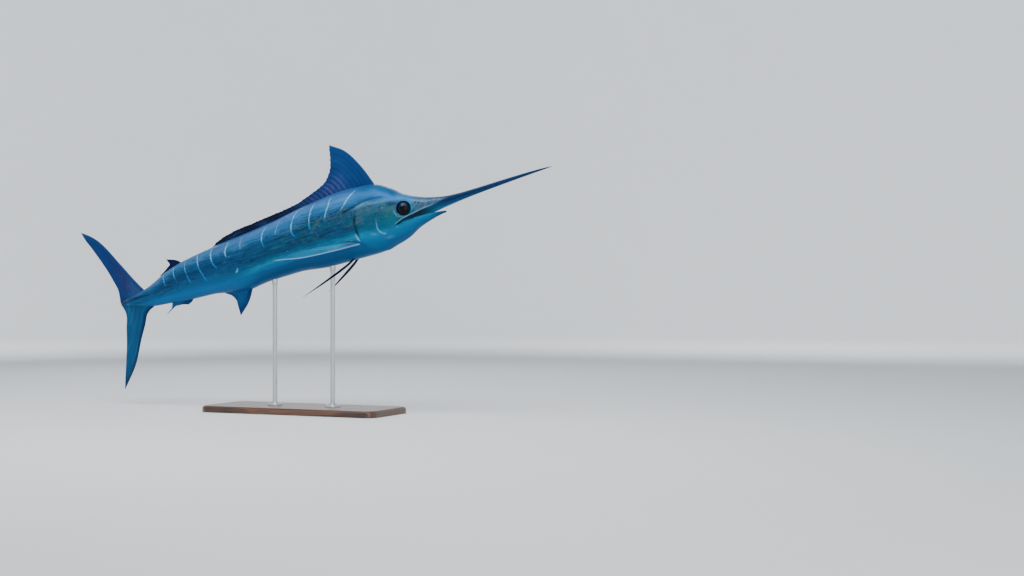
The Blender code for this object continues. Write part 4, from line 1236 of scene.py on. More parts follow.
def between(tree, value, low, high, toLow=0.0, toHigh=1.0):
    # smooth step of a value from toLow at low to toHigh at high
    node = tree.nodes.new("ShaderNodeMapRange")
    node.interpolation_type = "SMOOTHSTEP"
    for socket, number in zip(node.inputs, (value, low, high, toLow, toHigh)):
        feed(tree, number, socket)
    return node.outputs[0]


def blendColour(tree, share, under, over, way="MIX"):
    node = tree.nodes.new("ShaderNodeMix")
    node.data_type = "RGBA"
    node.blend_type = way
    for index, value in ((0, share), (6, under), (7, over)):
        feed(tree, value, node.inputs[index])
    return node.outputs[2]


def nearTo(tree, value, centre, half):
    away = calc(tree, "ABSOLUTE", calc(tree, "SUBTRACT", value, centre))
    return between(tree, away, 0.0, half, 1.0, 0.0)


def nearWhole(tree, value, factor, half):
    # 1 where value times factor is a whole number, down to 0 at half away from it
    return nearTo(tree, calc(tree, "FRACT", scaled(tree, value, factor, 0.5)), 0.5, half)


def vectorCalc(tree, operation, first, second):
    node = tree.nodes.new("ShaderNodeVectorMath")
    node.operation = operation
    feed(tree, first, node.inputs[0])
    feed(tree, second, node.inputs[1])
    return node.outputs["Value" if operation == "DISTANCE" else "Vector"]


def noise(tree, vector, scale, detail=3.0, roughness=0.5, distortion=0.0):
    node = addNode(
        tree, "ShaderNodeTexNoise", Vector=vector, Scale=scale, Detail=detail, Roughness=roughness,
        Distortion=distortion)
    return node.outputs["Fac"]


def stretchedNoise(tree, vector, stretch, detail, roughness):
    return noise(tree, vectorCalc(tree, "MULTIPLY", vector, stretch), 1.0, detail, roughness)


def objectPlace(tree):
    return addNode(tree, "ShaderNodeTexCoord").outputs["Object"]


def attribute(tree, name, output="Fac"):
    node = tree.nodes.new("ShaderNodeAttribute")
    node.attribute_name = name
    return node.outputs[output]


def parted(tree, vector):
    node = tree.nodes.new("ShaderNodeSeparateXYZ")
    feed(tree, vector, node.inputs[0])
    return node.outputs


def colourRamp(tree, share, stops):
    node = tree.nodes.new("ShaderNodeValToRGB")
    node.color_ramp.interpolation = "EASE"
    elements = node.color_ramp.elements
    while len(elements) < len(stops):
        elements.new(0.5)
    for element, (position, *colour) in zip(elements, stops):
        element.position = position
        element.color = (*paint(*colour), 1.0)
    feed(tree, share, node.inputs[0])
    return node.outputs[0]


def paint(red, green, blue):
    # colour given as it is seen, 0 to 255, turned into the values that shaders take
    return tuple(
        (c / 255 / 12.92) if c / 255 <= 0.04045 else ((c / 255 + 0.055) / 1.055) ** 2.4
        for c in (red, green, blue))


def newTree(name, kind, inputs, outputs):
    tree = bpy.data.node_groups.new(name, kind + "NodeTree")
    for way, sockets in (("INPUT", inputs), ("OUTPUT", outputs)):
        for label, socketKind in sockets.items():
            tree.interface.new_socket(label, in_out=way, socket_type="NodeSocket" + socketKind)
    return tree, tree.nodes.new("NodeGroupInput").outputs, tree.nodes.new("NodeGroupOutput").inputs


def newMaskGroup(name, *inputs):
    return newTree(name, "Shader", {label: "Float" for label in inputs}, {"Mask": "Float"})


def maskOf(tree, group, **inputs):
    node = tree.nodes.new("ShaderNodeGroup")
    node.node_tree = group
    for label, value in inputs.items():
        feed(tree, value, node.inputs[label.replace("_", " ")])
    return node.outputs["Mask"]


def makeMask(tree, values, parts):
    # product of parts: numbers, names of values, or steps (value, low, high, from, to), which may
    # start with "near" for (value, centre, half width) or "scaled" for (value, factor, addition)
    kinds = {"near": nearTo, "scaled": scaled}
    made = []
    for part in parts:
        if isinstance(part, tuple):
            kind = kinds.get(part[0], between)
            name, *numbers = part[1:] if part[0] in kinds else part
            made.append(kind(tree, values[name], *numbers))
        else:
            made.append(values.get(part, part))
    return times(tree, *made)


def newMaterial(name, roughness=0.4, metallic=0.0, coat=0.0, coatRoughness=0.1):
    material = bpy.data.materials.new(name)
    material.use_nodes = True
    shader = material.node_tree.nodes["Principled BSDF"]
    shader.inputs["Roughness"].default_value = roughness
    shader.inputs["Metallic"].default_value = metallic
    shader.inputs["Coat Weight"].default_value = coat
    shader.inputs["Coat Roughness"].default_value = coatRoughness
    return material, material.node_tree, shader


def addBump(tree, shader, height, strength, distance):
    node = addNode(tree, "ShaderNodeBump", Strength=strength, Distance=distance, Height=height)
    tree.links.new(node.outputs[0], shader.inputs["Normal"])


# Effects that several materials share

def makeMottleGroup():
    inputs = {"Place": "Vector", "Scale": "Float", "Low": "Float", "High": "Float"}
    group, given, out = newTree("mottle", "Shader", inputs, {"Mask": "Float"})
    coarse = noise(group, given["Place"], given["Scale"], 5.0, 0.62, 0.4)
    group.links.new(between(group, coarse, given["Low"], given["High"]), out["Mask"])
    return group


def makeRayGroup():
    # how near a point of a fin is to the middle of a ray: 1 on the ray, 0 on the web
    group, given, out = newMaskGroup("rayLines", "Across", "Rays", "Share")
    group.links.new(nearWhole(group, given["Across"], given["Rays"], given["Share"]), out["Mask"])
    return group


# reach below and above a bar's lowest height over which it fades, and its fade on the back
barEnds = {"bottom": (0.12, 0.1), "top": (0.8, 1.0), "middle": 0.5}


def makeBarGroup():
    # one pale bar across the flank, bowed towards the tail in its middle
    group, given, out = newMaskGroup(
        "paleBar", "Along", "Around", "Station", "Slant", "Bow", "Bottom", "Half Width", "Strength")
    rise = calc(group, "SUBTRACT", given["Around"], barEnds["middle"])
    centre = scaled(group, rise, given["Slant"], given["Station"])
    centre = scaled(group, calc(group, "MULTIPLY", rise, rise), given["Bow"], centre)
    below, above = barEnds["bottom"]
    low = calc(group, "SUBTRACT", given["Bottom"], below)
    high = calc(group, "ADD", given["Bottom"], above)
    underTop = between(group, given["Around"], *barEnds["top"], 1.0, 0.0)
    mask = times(
        group, nearTo(group, given["Along"], centre, given["Half Width"]),
        between(group, given["Around"], low, high), underTop, given["Strength"])
    group.links.new(mask, out["Mask"])
    return group


mottleGroup = makeMottleGroup()
rayGroup = makeRayGroup()
barGroup = makeBarGroup()

# Skin colours; ramps are (share of the way from the belly to the back, red, green, blue)
skinLook = {
    "rear": (
        (0.0, 0, 84, 138), (0.15, 1, 98, 154), (0.3, 0, 82, 128),
        (0.42, 2, 70, 114), (0.54, 0, 58, 98), (0.66, 4, 70, 112),
        (0.76, 22, 92, 142), (0.86, 50, 122, 172), (1.0, 44, 112, 166)),
    "trunk": (
        (0.0, 0, 80, 130), (0.15, 0, 76, 126), (0.21, 3, 96, 146),
        (0.26, 12, 124, 164), (0.33, 4, 84, 118), (0.4, 0, 58, 94),
        (0.5, 14, 70, 104), (0.62, 10, 68, 106), (0.7, 26, 84, 130),
        (0.78, 44, 110, 162), (0.88, 60, 128, 188), (1.0, 50, 108, 172)),
    "head": (
        (0.0, 0, 80, 130), (0.15, 2, 98, 144), (0.24, 10, 112, 156),
        (0.32, 4, 82, 112), (0.45, 16, 75, 102), (0.58, 44, 90, 116),
        (0.66, 40, 86, 126), (0.74, 10, 70, 118), (0.86, 16, 78, 128),
        (1.0, 34, 96, 150)),
    "bill": (
        (0.0, 8, 88, 134), (0.22, 3, 68, 112), (0.45, 1, 34, 74),
        (0.78, 2, 36, 76), (0.92, 10, 58, 92), (1.0, 34, 84, 122)),
    "farBill": paint(2, 44, 82),
    "brown": paint(76, 92, 100),
    "olive": paint(36, 86, 84),
    "speck": paint(2, 44, 62),
    # colour of the painted sheen high on the flank
    "violet": paint(70, 102, 166),
    "teal": paint(12, 104, 112),
    "deep": paint(0, 58, 112),
    "darkThread": paint(0, 32, 62),
    "paleThread": paint(104, 162, 194),
    "midThread": paint(46, 106, 146),
    "barHigh": paint(122, 192, 224),
    "barLow": paint(24, 124, 200),
    "dark": paint(1, 8, 26),
    "pale": paint(122, 188, 214),
    # near-black painted shade inside the mouth
    "mouth": paint(1, 8, 22),
    "snout": paint(84, 102, 120),
    "snoutDark": paint(34, 66, 88),
    "crown": paint(70, 138, 188),
    "under": paint(6, 92, 142),
    "stalk": paint(2, 84, 132),
    # (station, slant, bow, lowest height, strength) of each bar, from the head to the tail
    "bars": (
        (0.759, 0.072, 0.03, 0.4, 0.7), (0.7125, 0.035, 0.0, 0.24, 0.75),
        (0.6605, 0.022, 0.05, 0.12, 0.8), (0.6075, 0.016, 0.06, 0.08, 0.9),
        (0.56, 0.012, 0.07, 0.36, 0.45), (0.5155, 0.012, 0.045, 0.1, 0.75),
        (0.4485, 0.0, 0.005, 0.42, 0.5), (0.397, -0.002, 0.06, 0.32, 0.85),
        (0.3485, -0.004, 0.03, -0.06, 0.9), (0.305, -0.006, 0.012, -0.38, 0.9),
        (0.257, -0.006, 0.012, -0.26, 0.8), (0.217, -0.003, 0.006, -0.08, 0.7),
        (0.1795, -0.006, 0.0, 0.02, 0.6)),
    "barHalfWidth": 0.0038,
    "attributes": (
        "around", "inside", "darkMark", "paleMark", "snoutMark", "tealMark", "underMark", "eyeAway"),
    # (stretch along, across and up, detail, roughness); the threads of scales are long and narrow
    "noises": {
        "broad": ((3.2, 42.0, 42.0), 4.0, 0.55), "threads": ((7.0, 120.0, 120.0), 4.0, 0.6),
        "fineThreads": ((22.0, 330.0, 330.0), 3.0, 0.6), "contour": ((1.7, 34.0, 34.0), 3.0, 0.45),
        "clouds": ((9.0, 9.0, 9.0), 3.0, 0.5)},
    # (scale, low, high, stretch across)
    "mottles": {
        "grain": (75.0, 0.36, 0.66, 1.0), "fineGrain": (190.0, 0.34, 0.66, 1.7),
        "olivePatches": (15.0, 0.42, 0.62, 1.5), "brownPatches": (24.0, 0.46, 0.62, 1.5),
        "darkPatches": (44.0, 0.54, 0.66, 1.6), "speckles": (120.0, 0.58, 0.68, 1.0)},
    "scales": (75.0, 300.0, 300.0),
    "contours": 9.0,
    # (noise, amount) that move the borders of the colours and of the bars
    "borderWander": (("broad", 0.26), ("clouds", 0.2)),
    "barWander": (("threads", 0.0045), ("clouds", 0.016)),
    "barUpper": (("around", 0.22, 0.52),),
    "billTip": (("along", 1.03, 1.12, 0.0, 0.75),),
    # areas as makeMask takes them
    "zones": {
        "cheek": (
            ("along", 0.5, 0.7), ("along", 0.925, 0.9), ("around", -0.38, -0.05), ("around", 0.56, 0.36)),
        "flank": (
            ("around", -0.6, -0.15), ("around", 0.45, 0.95, 1.0, 0.3), ("along", 0.8, 0.74, 0.22, 1.0),
            ("along", 0.06, 0.16, 0.25, 1.0)),
        "brokenBars": ("bars", ("fineThreads", 0.38, 0.56, 0.45, 1.0), ("clouds", 0.32, 0.5, 0.6, 1.0))},
    # (colour, parts of its mask), from the lowest layer upwards
    "layers": (
        ("trunk", ("along", 0.36, 0.52)),
        ("head", ("along", 0.74, 0.835)),
        ("stalk", ("along", 0.17, 0.08, 0.0, 0.7)),
        ("deep", ("near", "along", 0.736, 0.034), ("near", "around", -0.2, 0.22), 0.8),
        # painted sheen: a greyer violet highlight high on the flank
        ("violet", ("around", 0.35, 0.62), ("around", 1.0, 0.85), ("along", 0.83, 0.72),
         ("clouds", 0.42, 0.62, 0.0, 0.45)),
        # brown and olive mottling from the cheek to the shoulder
        ("olive", "cheek", "olivePatches", 0.6),
        ("brown", "cheek", "brownPatches", ("scaled", "grain", 0.55, 0.15)),
        ("speck", "cheek", "darkPatches", 0.6),
        ("teal", "tealMark", 0.6),
        # threads show as lighter and darker lines along the flank
        ("darkThread", ("near", "level", 0.5, 0.24), "flank", ("threads", 0.36, 0.56, 0.15, 0.62)),
        ("darkThread", ("threads", 0.5, 0.64), "flank", 0.45),
        ("midThread", ("broad", 0.54, 0.68), "flank", 0.32),
        ("paleThread", ("fineThreads", 0.6, 0.74), ("clouds", 0.4, 0.6, 0.2, 1.0), "flank", 0.55),
        ("darkThread", ("fineGrain", 1.0, 0.0), 0.2),
        ("bar", ("brokenBars", 0.06, 0.66, 0.0, 0.8)),
        # bill, snout and the marks of the head
        ("crown", ("around", 0.6, 0.85), ("along", 0.88, 0.905), ("along", 1.0, 0.96), 0.5),
        ("bill", ("along", 0.96, 1.015)),
        ("snout", "snoutMark", 0.75),
        ("pale", "snoutMark", "speckles", ("along", 0.985, 0.95), 0.55),
        ("under", "underMark", 0.85),
        # painted shade inside the mouth
        ("mouth", "inside", 0.95),
        ("pale", "paleMark", ("scaled", "grain", 0.4, 0.6)),
        # dark marks of the skin together with painted shade in its slit, grooves, creases and nostrils and
        # under the upper jaw
        ("dark", "darkMark"),
        # painted shade where the skin turns into the eye socket
        ("dark", ("eyeAway", 0.045, 0.0405))),
    "coat": (("inside", 0.0, 0.5, 0.06, 0.0),),
    "silver": (("around", -0.2, 0.6, 0.35, 0.5), ("inside", 0.5, 0.0)),
}


def makeSkinMaterial():
    material, tree, shader = newMaterial("wetSkin", roughness=0.42, coatRoughness=0.22)
    shader.inputs["Specular IOR Level"].default_value = 0.12
    place = attribute(tree, "place", "Vector")
    values = {name: attribute(tree, name) for name in skinLook["attributes"]}
    values["along"] = calc(tree, "DIVIDE", parted(tree, place)[0], body["forkLength"])
    for name, settings in skinLook["noises"].items():
        values[name] = stretchedNoise(tree, place, *settings)
    for name, (scale, low, high, across) in skinLook["mottles"].items():
        spot = vectorCalc(tree, "MULTIPLY", place, (1.0, across, across))
        values[name] = maskOf(tree, mottleGroup, Place=spot, Scale=scale, Low=low, High=high)
    values["level"] = calc(tree, "FRACT", calc(tree, "MULTIPLY", values["contour"], skinLook["contours"]))
    edge, border = values["along"], values["around"]
    for name, amount in skinLook["barWander"]:
        edge = wandering(tree, edge, values[name], amount)
    for station, slant, bow, bottom, strength in skinLook["bars"]:
        bar = maskOf(
            tree, barGroup, Along=edge, Around=values["around"], Station=station, Slant=slant, Bow=bow,
            Bottom=bottom, Half_Width=skinLook["barHalfWidth"], Strength=strength)
        values["bars"] = calc(tree, "MAXIMUM", values["bars"], bar) if "bars" in values else bar
    for name, parts in skinLook["zones"].items():
        values[name] = makeMask(tree, values, parts)
    for name, amount in skinLook["borderWander"]:
        border = wandering(tree, border, values[name], amount)
    share = scaled(tree, border, 0.5, 0.5, clamp=True)
    billShare = scaled(tree, values["around"], 0.5, 0.5, clamp=True)
    bill = colourRamp(tree, billShare, skinLook["bill"])
    upperBar = makeMask(tree, values, skinLook["barUpper"])
    billTip = makeMask(tree, values, skinLook["billTip"])
    colours = {
        **skinLook,
        "trunk": colourRamp(tree, share, skinLook["trunk"]),
        "head": colourRamp(tree, share, skinLook["head"]),
        "bill": blendColour(tree, billTip, bill, skinLook["farBill"]),
        "bar": blendColour(tree, upperBar, skinLook["barLow"], skinLook["barHigh"]),
        "snout": blendColour(tree, values["grain"], skinLook["snoutDark"], skinLook["snout"]),
    }
    colour = colourRamp(tree, share, skinLook["rear"])
    for over, *parts in skinLook["layers"]:
        colour = blendColour(tree, makeMask(tree, values, parts), colour, colours[over])
    tree.links.new(colour, shader.inputs["Base Color"])
    # gloss and relief
    rough = scaled(tree, values["fineThreads"], 0.24, 0.3)
    tree.links.new(scaled(tree, values["inside"], 0.35, rough), shader.inputs["Roughness"])
    tree.links.new(makeMask(tree, values, skinLook["coat"]), shader.inputs["Coat Weight"])
    tree.links.new(makeMask(tree, values, skinLook["silver"]), shader.inputs["Metallic"])
    scalePlace = vectorCalc(tree, "MULTIPLY", place, skinLook["scales"])
    scales = addNode(tree, "ShaderNodeTexVoronoi", Vector=scalePlace, Scale=1.0)
    height = scaled(tree, values["threads"], 0.6, calc(tree, "MULTIPLY", values["fineThreads"], 0.4))
    height = scaled(tree, scales.outputs["Distance"], -0.25, height)
    height = times(tree, height, scaled(tree, values["flank"], 0.75, 0.25))
    addBump(tree, shader, scaled(tree, values["grain"], 0.12, height), 0.45, 0.0018)
    return material


# Fin looks: colours at the root, in the middle and at the margin, of the rays, and how strong they show
finLook = {
    # blush: a tint, where it starts and ends across the fin, how far out it reaches and its strength
    "dorsal": {
        "root": paint(14, 34, 84), "middle": paint(8, 44, 92), "margin": paint(5, 40, 88),
        "ray": paint(44, 74, 134), "rayShare": 0.42, "rayStrength": 0.42, "front": paint(5, 54, 104),
        "frontRays": 8.0, "rear": paint(1, 7, 34), "rearFrom": 0.16, "rearTo": 0.56,
        "blush": (paint(84, 76, 140), 0.06, 0.16, 0.36, 0.66, 1.05, 0.62)},
    "caudalUpper": {
        "root": paint(8, 74, 116), "middle": paint(16, 42, 96), "margin": paint(4, 50, 104),
        "ray": paint(34, 62, 118), "rayShare": 0.3, "rayStrength": 0.25, "front": paint(8, 56, 108),
        "blush": (paint(76, 32, 100), -0.3, -0.1, 0.4, 0.8, 0.75, 0.8)},
    "caudalLower": {
        "root": paint(2, 66, 108), "middle": paint(0, 58, 106), "margin": paint(0, 58, 104),
        "ray": paint(40, 124, 152), "rayShare": 0.3, "rayStrength": 0.4, "front": paint(2, 30, 74),
        "bands": 0.45},
    "small": {
        "root": paint(4, 22, 66), "middle": paint(2, 14, 54), "margin": paint(2, 10, 42),
        "ray": paint(14, 30, 82), "rayShare": 0.32, "rayStrength": 0.3, "front": paint(2, 16, 56)},
    "anal": {
        "root": paint(0, 84, 136), "middle": paint(0, 70, 118), "margin": paint(1, 44, 92),
        "ray": paint(26, 98, 146), "rayShare": 0.32, "rayStrength": 0.3, "front": paint(2, 42, 90)},
    "pectoral": {
        "root": paint(0, 54, 90), "middle": paint(4, 96, 134), "margin": paint(2, 84, 124),
        "ray": paint(52, 138, 166), "rayShare": 0.34, "rayStrength": 0.4, "front": paint(122, 150, 194),
        "frontRays": 0.7},
    "pelvic": {
        "root": paint(6, 12, 44), "middle": paint(3, 9, 38), "margin": paint(2, 6, 28),
        "ray": paint(18, 26, 70), "rayShare": 0.4, "rayStrength": 0.3, "front": paint(6, 14, 50)},
}


def makeFinMaterial(name, look, rays):
    material, tree, shader = newMaterial(name, roughness=0.42, metallic=0.3, coat=0.04, coatRoughness=0.25)
    shader.inputs["Specular IOR Level"].default_value = 0.1
    finPlace = attribute(tree, "finPlace", "Vector")
    across, out, _ = parted(tree, finPlace)
    place = objectPlace(tree)
    clouds = noise(tree, place, 14.0, 4.0, 0.55)
    values = {"across": across, "out": out, "clouds": clouds}
    values["onRay"] = maskOf(tree, rayGroup, Across=across, Rays=rays - 1.0, Share=look["rayShare"])
    values["fine"] = maskOf(tree, rayGroup, Across=across, Rays=(rays - 1.0) * 3, Share=0.5)
    values["reach"] = wandering(tree, out, clouds, 0.35)
    values["streaks"] = stretchedNoise(tree, place, (30.0, 30.0, 12.0), 3.0, 0.55)
    values["bands"] = stretchedNoise(tree, finPlace, (8.0, 1.3, 0.0), 3.0, 0.5)
    values["specks"] = maskOf(tree, mottleGroup, Place=place, Scale=70.0, Low=0.56, High=0.7)
    strength, frontRays = look["rayStrength"], look.get("frontRays", 3.0)
    # (colour, parts of its mask), as for the skin
    layers = [
        (look["middle"], ("reach", 0.05, 0.45)),
        (look["margin"], ("reach", 0.6, 1.0)),
        (look["ray"], "onRay", ("clouds", 0.3, 0.62, strength * 0.3, strength)),
        (look["ray"], "fine", ("out", 0.3, 0.7, 0.0, 0.14))]
    if "blush" in look:
        tint, start, full, fade, end, reachEnd, amount = look["blush"]
        layers.append((
            tint, ("across", start, full), ("across", end, fade), ("reach", reachEnd, reachEnd - 0.45),
            ("onRay", 0.1, 0.9, 0.25, 1.0), ("streaks", 0.36, 0.62, 0.3, 1.0), amount))
    layers.append((look["front"], ("across", frontRays * 0.4 / rays, frontRays * 1.2 / rays, 0.85, 0.0)))
    if "rear" in look:
        rearZone = ("across", look["rearFrom"], look["rearTo"])
        layers.append((look["rear"], rearZone, ("onRay", 0.0, 1.0, 1.0, 0.9)))
    # soft lengthwise bands, paler and darker, that run with the rays
    layers += [
        (look["ray"], ("bands", 0.5, 0.68, 0.0, look.get("bands", 0.25))),
        (skinLook["darkThread"], ("bands", 0.5, 0.34, 0.0, 0.28)),
        (skinLook["dark"], "specks", 0.22)]
    colour = look["root"]
    for over, *parts in layers:
        colour = blendColour(tree, makeMask(tree, values, parts), colour, over)
    tree.links.new(colour, shader.inputs["Base Color"])
    tree.links.new(scaled(tree, clouds, 0.25, 0.3), shader.inputs["Roughness"])
    grain = stretchedNoise(tree, place, (160.0, 160.0, 160.0), 2.0, 0.5)
    addBump(tree, shader, scaled(tree, values["fine"], 0.5, calc(tree, "MULTIPLY", grain, 0.5)), 0.3, 0.0006)
    return material


def makeEyeMaterial():
    material, tree, shader = newMaterial("wetEye", roughness=0.3, coat=0.05, coatRoughness=0.05)
    shader.inputs["Specular IOR Level"].default_value = 0.1
    spot = attribute(tree, "irisPlace", "Vector")
    flecks = noise(tree, objectPlace(tree), 260.0, 3.0, 0.6)
    # the pupil looks down a little; the iris over it has a painted highlight
    fromPupil = wandering(tree, vectorCalc(tree, "DISTANCE", spot, (0.0, -0.26, 0.0)), flecks, 0.06)
    colour = colourRamp(tree, fromPupil, (
        (0.0, 1, 1, 3), (0.55, 1, 2, 6), (0.62, 5, 14, 32), (0.85, 6, 18, 42),
        (1.0, 3, 9, 26)))
    # painted highlight high on the iris
    light = between(tree, vectorCalc(tree, "DISTANCE", spot, (0.02, 0.56, 0.0)), 0.42, 0.05, 0.0, 0.46)
    colour = blendColour(tree, light, colour, paint(58, 78, 108))
    tree.links.new(colour, shader.inputs["Base Color"])
    addBump(tree, shader, flecks, 0.05, 0.0004)
    return material


# Geometry Nodes trees

def newGeometryTree(name, inputs):
    return newTree(name, "Geometry", {"Geometry": "Geometry", **inputs}, {"Geometry": "Geometry"})


def closeTree(tree, geometry, material, out):
    realized = addNode(tree, "GeometryNodeRealizeInstances", Geometry=geometry)
    painted = addNode(tree, "GeometryNodeSetMaterial", Geometry=realized.outputs[0], Material=material)
    tree.links.new(painted.outputs[0], out[0])


def makeRaisedRays():
    # raises the rays of a fin as ribs in the blade's own surface, with their branches further out
    tree, given, out = newGeometryTree("raisedRays", {
        "Rays": "Float", "Ridge": "Float", "Ridge Share": "Float", "Branching": "Float",
        "Material": "Material"})
    named = tree.nodes.new("GeometryNodeInputNamedAttribute")
    named.data_type = "FLOAT_VECTOR"
    named.inputs["Name"].default_value = "finPlace"
    across, outward, inner = parted(tree, named.outputs["Attribute"])
    count = calc(tree, "MULTIPLY", across, calc(tree, "SUBTRACT", given["Rays"], 1.0))
    main = nearWhole(tree, count, 1.0, given["Ridge Share"])
    branches = times(
        tree, nearWhole(tree, count, 3.0, 0.42), between(tree, outward, 0.35, 0.75, 0.0, 0.55),
        given["Branching"])
    height = times(
        tree, calc(tree, "MAXIMUM", main, branches), given["Ridge"],
        between(tree, outward, 0.0, 1.0, 1.0, 0.55), inner)
    offset = tree.nodes.new("ShaderNodeVectorMath")
    offset.operation = "SCALE"
    tree.links.new(tree.nodes.new("GeometryNodeInputNormal").outputs["Normal"], offset.inputs[0])
    tree.links.new(height, offset.inputs["Scale"])
    moved = addNode(tree, "GeometryNodeSetPosition", Geometry=given["Geometry"], Offset=offset.outputs[0])
    closeTree(tree, moved.outputs[0], given["Material"], out)
    return tree


def moved(tree, geometry, way):
    return addNode(tree, "GeometryNodeTransform", Geometry=geometry, Translation=way).outputs[0]


def lifted(tree, geometry, height):
    return moved(tree, geometry, addNode(tree, "ShaderNodeCombineXYZ", Z=height).outputs[0])


def makeBoltRing():
    # hexagon bolts with washers, evenly round a circle; sizes are shares of the head's
    tree, given, out = newGeometryTree("boltRing", {
        "Count": "Int", "Ring Radius": "Float", "Head Radius": "Float", "Head Height": "Float",
        "Centre": "Vector", "Material": "Material"})
    radius, height = given["Head Radius"], given["Head Height"]

    def share(size, part):
        return calc(tree, "MULTIPLY", size, part)

    circle = addNode(tree, "GeometryNodeMeshCircle", Vertices=given["Count"], Radius=given["Ring Radius"])
    washer = addNode(
        tree, "GeometryNodeMeshCylinder", Vertices=28, Radius=share(radius, 1.35), Depth=share(height, 0.25))
    head = addNode(tree, "GeometryNodeMeshCylinder", Vertices=6, Radius=radius, Depth=height)
    crown = addNode(
        tree, "GeometryNodeMeshCone", Vertices=24, Radius_Top=share(radius, 0.62),
        Radius_Bottom=share(radius, 0.84), Depth=share(height, 0.25))
    bolt = tree.nodes.new("GeometryNodeJoinGeometry")
    raisedHead = lifted(tree, head.outputs["Mesh"], share(height, 0.62))
    raisedCrown = lifted(tree, crown.outputs["Mesh"], share(height, 1.12))
    for part in (raisedCrown, raisedHead, washer.outputs["Mesh"]):
        tree.links.new(part, bolt.inputs[0])
    placed = addNode(
        tree, "GeometryNodeInstanceOnPoints", Points=circle.outputs[0], Instance=bolt.outputs[0])
    closeTree(tree, moved(tree, placed.outputs[0], given["Centre"]), given["Material"], out)
    return tree


def throughTree(piece, tree, **values):
    # runs a Geometry Nodes tree on a piece and keeps its result as a plain mesh
    modifier = piece.modifiers.new(tree.name, "NODES")
    modifier.node_group = tree
    sockets = {item.name: item.identifier for item in tree.interface.items_tree if item.in_out == "INPUT"}
    for label, value in values.items():
        modifier[sockets[label.replace("_", " ")]] = value
    evaluated = piece.evaluated_get(bpy.context.evaluated_depsgraph_get())
    made = bpy.data.meshes.new_from_object(evaluated)
    old = piece.data
    piece.modifiers.clear()
    piece.data = made
    made.name = piece.name
    bpy.data.meshes.remove(old)
    return piece


# Stand

stand = {
    "baseLength": 1.2,
    "baseWidth": 0.46,
    "baseCorner": 0.06,
    "cornerSegments": 16,
    # (inset from the outline, height) up the edge of the base
    "edge": (
        (0.003, 0.0), (0.0008, 0.0008), (0.0, 0.003), (0.0, 0.0285), (0.0006, 0.0305),
        (0.0024, 0.0322), (0.0052, 0.033), (0.006, 0.0336), (0.0064, 0.035), (0.0074, 0.0374),
        (0.0094, 0.0392), (0.0125, 0.04)),
    "rodRadius": 0.014,
    "footRadius": 0.045,
    "footHeight": 0.012,
    "collarRadius": 0.018,
    "collarLength": 0.026,
    "turns": 72,
    "footRounding": 0.0036,
    "fillet": 0.006,
    # (step from the rod's radius or the collar's, height from the collar's start or from the belly)
    "collarStart": ((0.0, -0.004), (0.0008, -0.0036)),
    "collarEdge": ((-0.0012, 0.0), (0.0, 0.0014)),
    "collarEnd": ((0.0, 0.016), (-0.002, 0.018)),
    "bolts": 4,
    "boltCircle": 0.031,
    "boltRadius": 0.0048,
    "boltHeight": 0.0042,
    "boltsOverFoot": 0.0003,
}
baseTop = stand["edge"][-1][1]


def makeBase(material):
    length, width, corner = stand["baseLength"], stand["baseWidth"], stand["baseCorner"]
    quarter = np.radians(np.linspace(0, 90, stand["cornerSegments"] + 1))
    rings = []
    for inset, height in stand["edge"]:
        ring = []
        for xSide, ySide, start in ((1, 1, 0), (-1, 1, 90), (-1, -1, 180), (1, -1, 270)):
            for turn in quarter + math.radians(start):
                ring.append((
                    xSide * (length / 2 - corner) + (corner - inset) * math.cos(turn),
                    ySide * (width / 2 - corner) + (corner - inset) * math.sin(turn), height))
        rings.append(ring)
    numbers = ringNumbers(len(rings), len(rings[0]))
    faces = tubeFaces(numbers[::-1]) + [tuple(numbers[0][::-1]), tuple(numbers[-1])]
    points = [p for ring in rings for p in ring]
    piece = makeMesh("standBase", points, faces, material)
    piece.data.set_sharp_from_angle(angle=math.radians(35))
    return piece


def turned(name, profile, centre, material):
    # closed piece turned about an upright line from (radius, height) pairs, bottom to top
    turns = np.linspace(0, 2 * np.pi, stand["turns"], endpoint=False)
    points = [
        (centre[0] + radius * math.cos(a), centre[1] + radius * math.sin(a), height)
        for radius, height in profile for a in turns]
    points += [(centre[0], centre[1], profile[0][1]), (centre[0], centre[1], profile[-1][1])]
    rings = ringNumbers(len(profile), len(turns))
    faces = tubeFaces(rings[::-1])
    faces += fanFaces(rings[0], len(points) - 2, False) + fanFaces(rings[-1], len(points) - 1, True)
    piece = makeMesh(name, points, faces, material)
    piece.data.set_sharp_from_angle(angle=math.radians(40))
    return piece


def rodProfile(belly):
    foot, rod, collar = stand["footRadius"], stand["rodRadius"], stand["collarRadius"]
    footTop = baseTop + stand["footHeight"]
    start = belly - stand["collarLength"]
    rounding, fillet = stand["footRounding"], stand["fillet"]
    rows = [(foot - 0.0006, baseTop), (foot, baseTop + 0.0006), (foot, footTop - rounding)]
    rows += [
        (foot - rounding * (1 - math.cos(t)), footTop - rounding * (1 - math.sin(t)))
        for t in np.radians((22, 45, 68, 90))]
    rows += [
        (rod + fillet * (1 - math.sin(t)), footTop + fillet * (1 - math.cos(t)))
        for t in np.radians((0, 20, 40, 60, 80, 90))]
    rows += [(rod + out, start + up) for out, up in stand["collarStart"]]
    rows += [(collar + out, start + up) for out, up in stand["collarEdge"]]
    return rows + [(collar + out, belly + up) for out, up in stand["collarEnd"]]


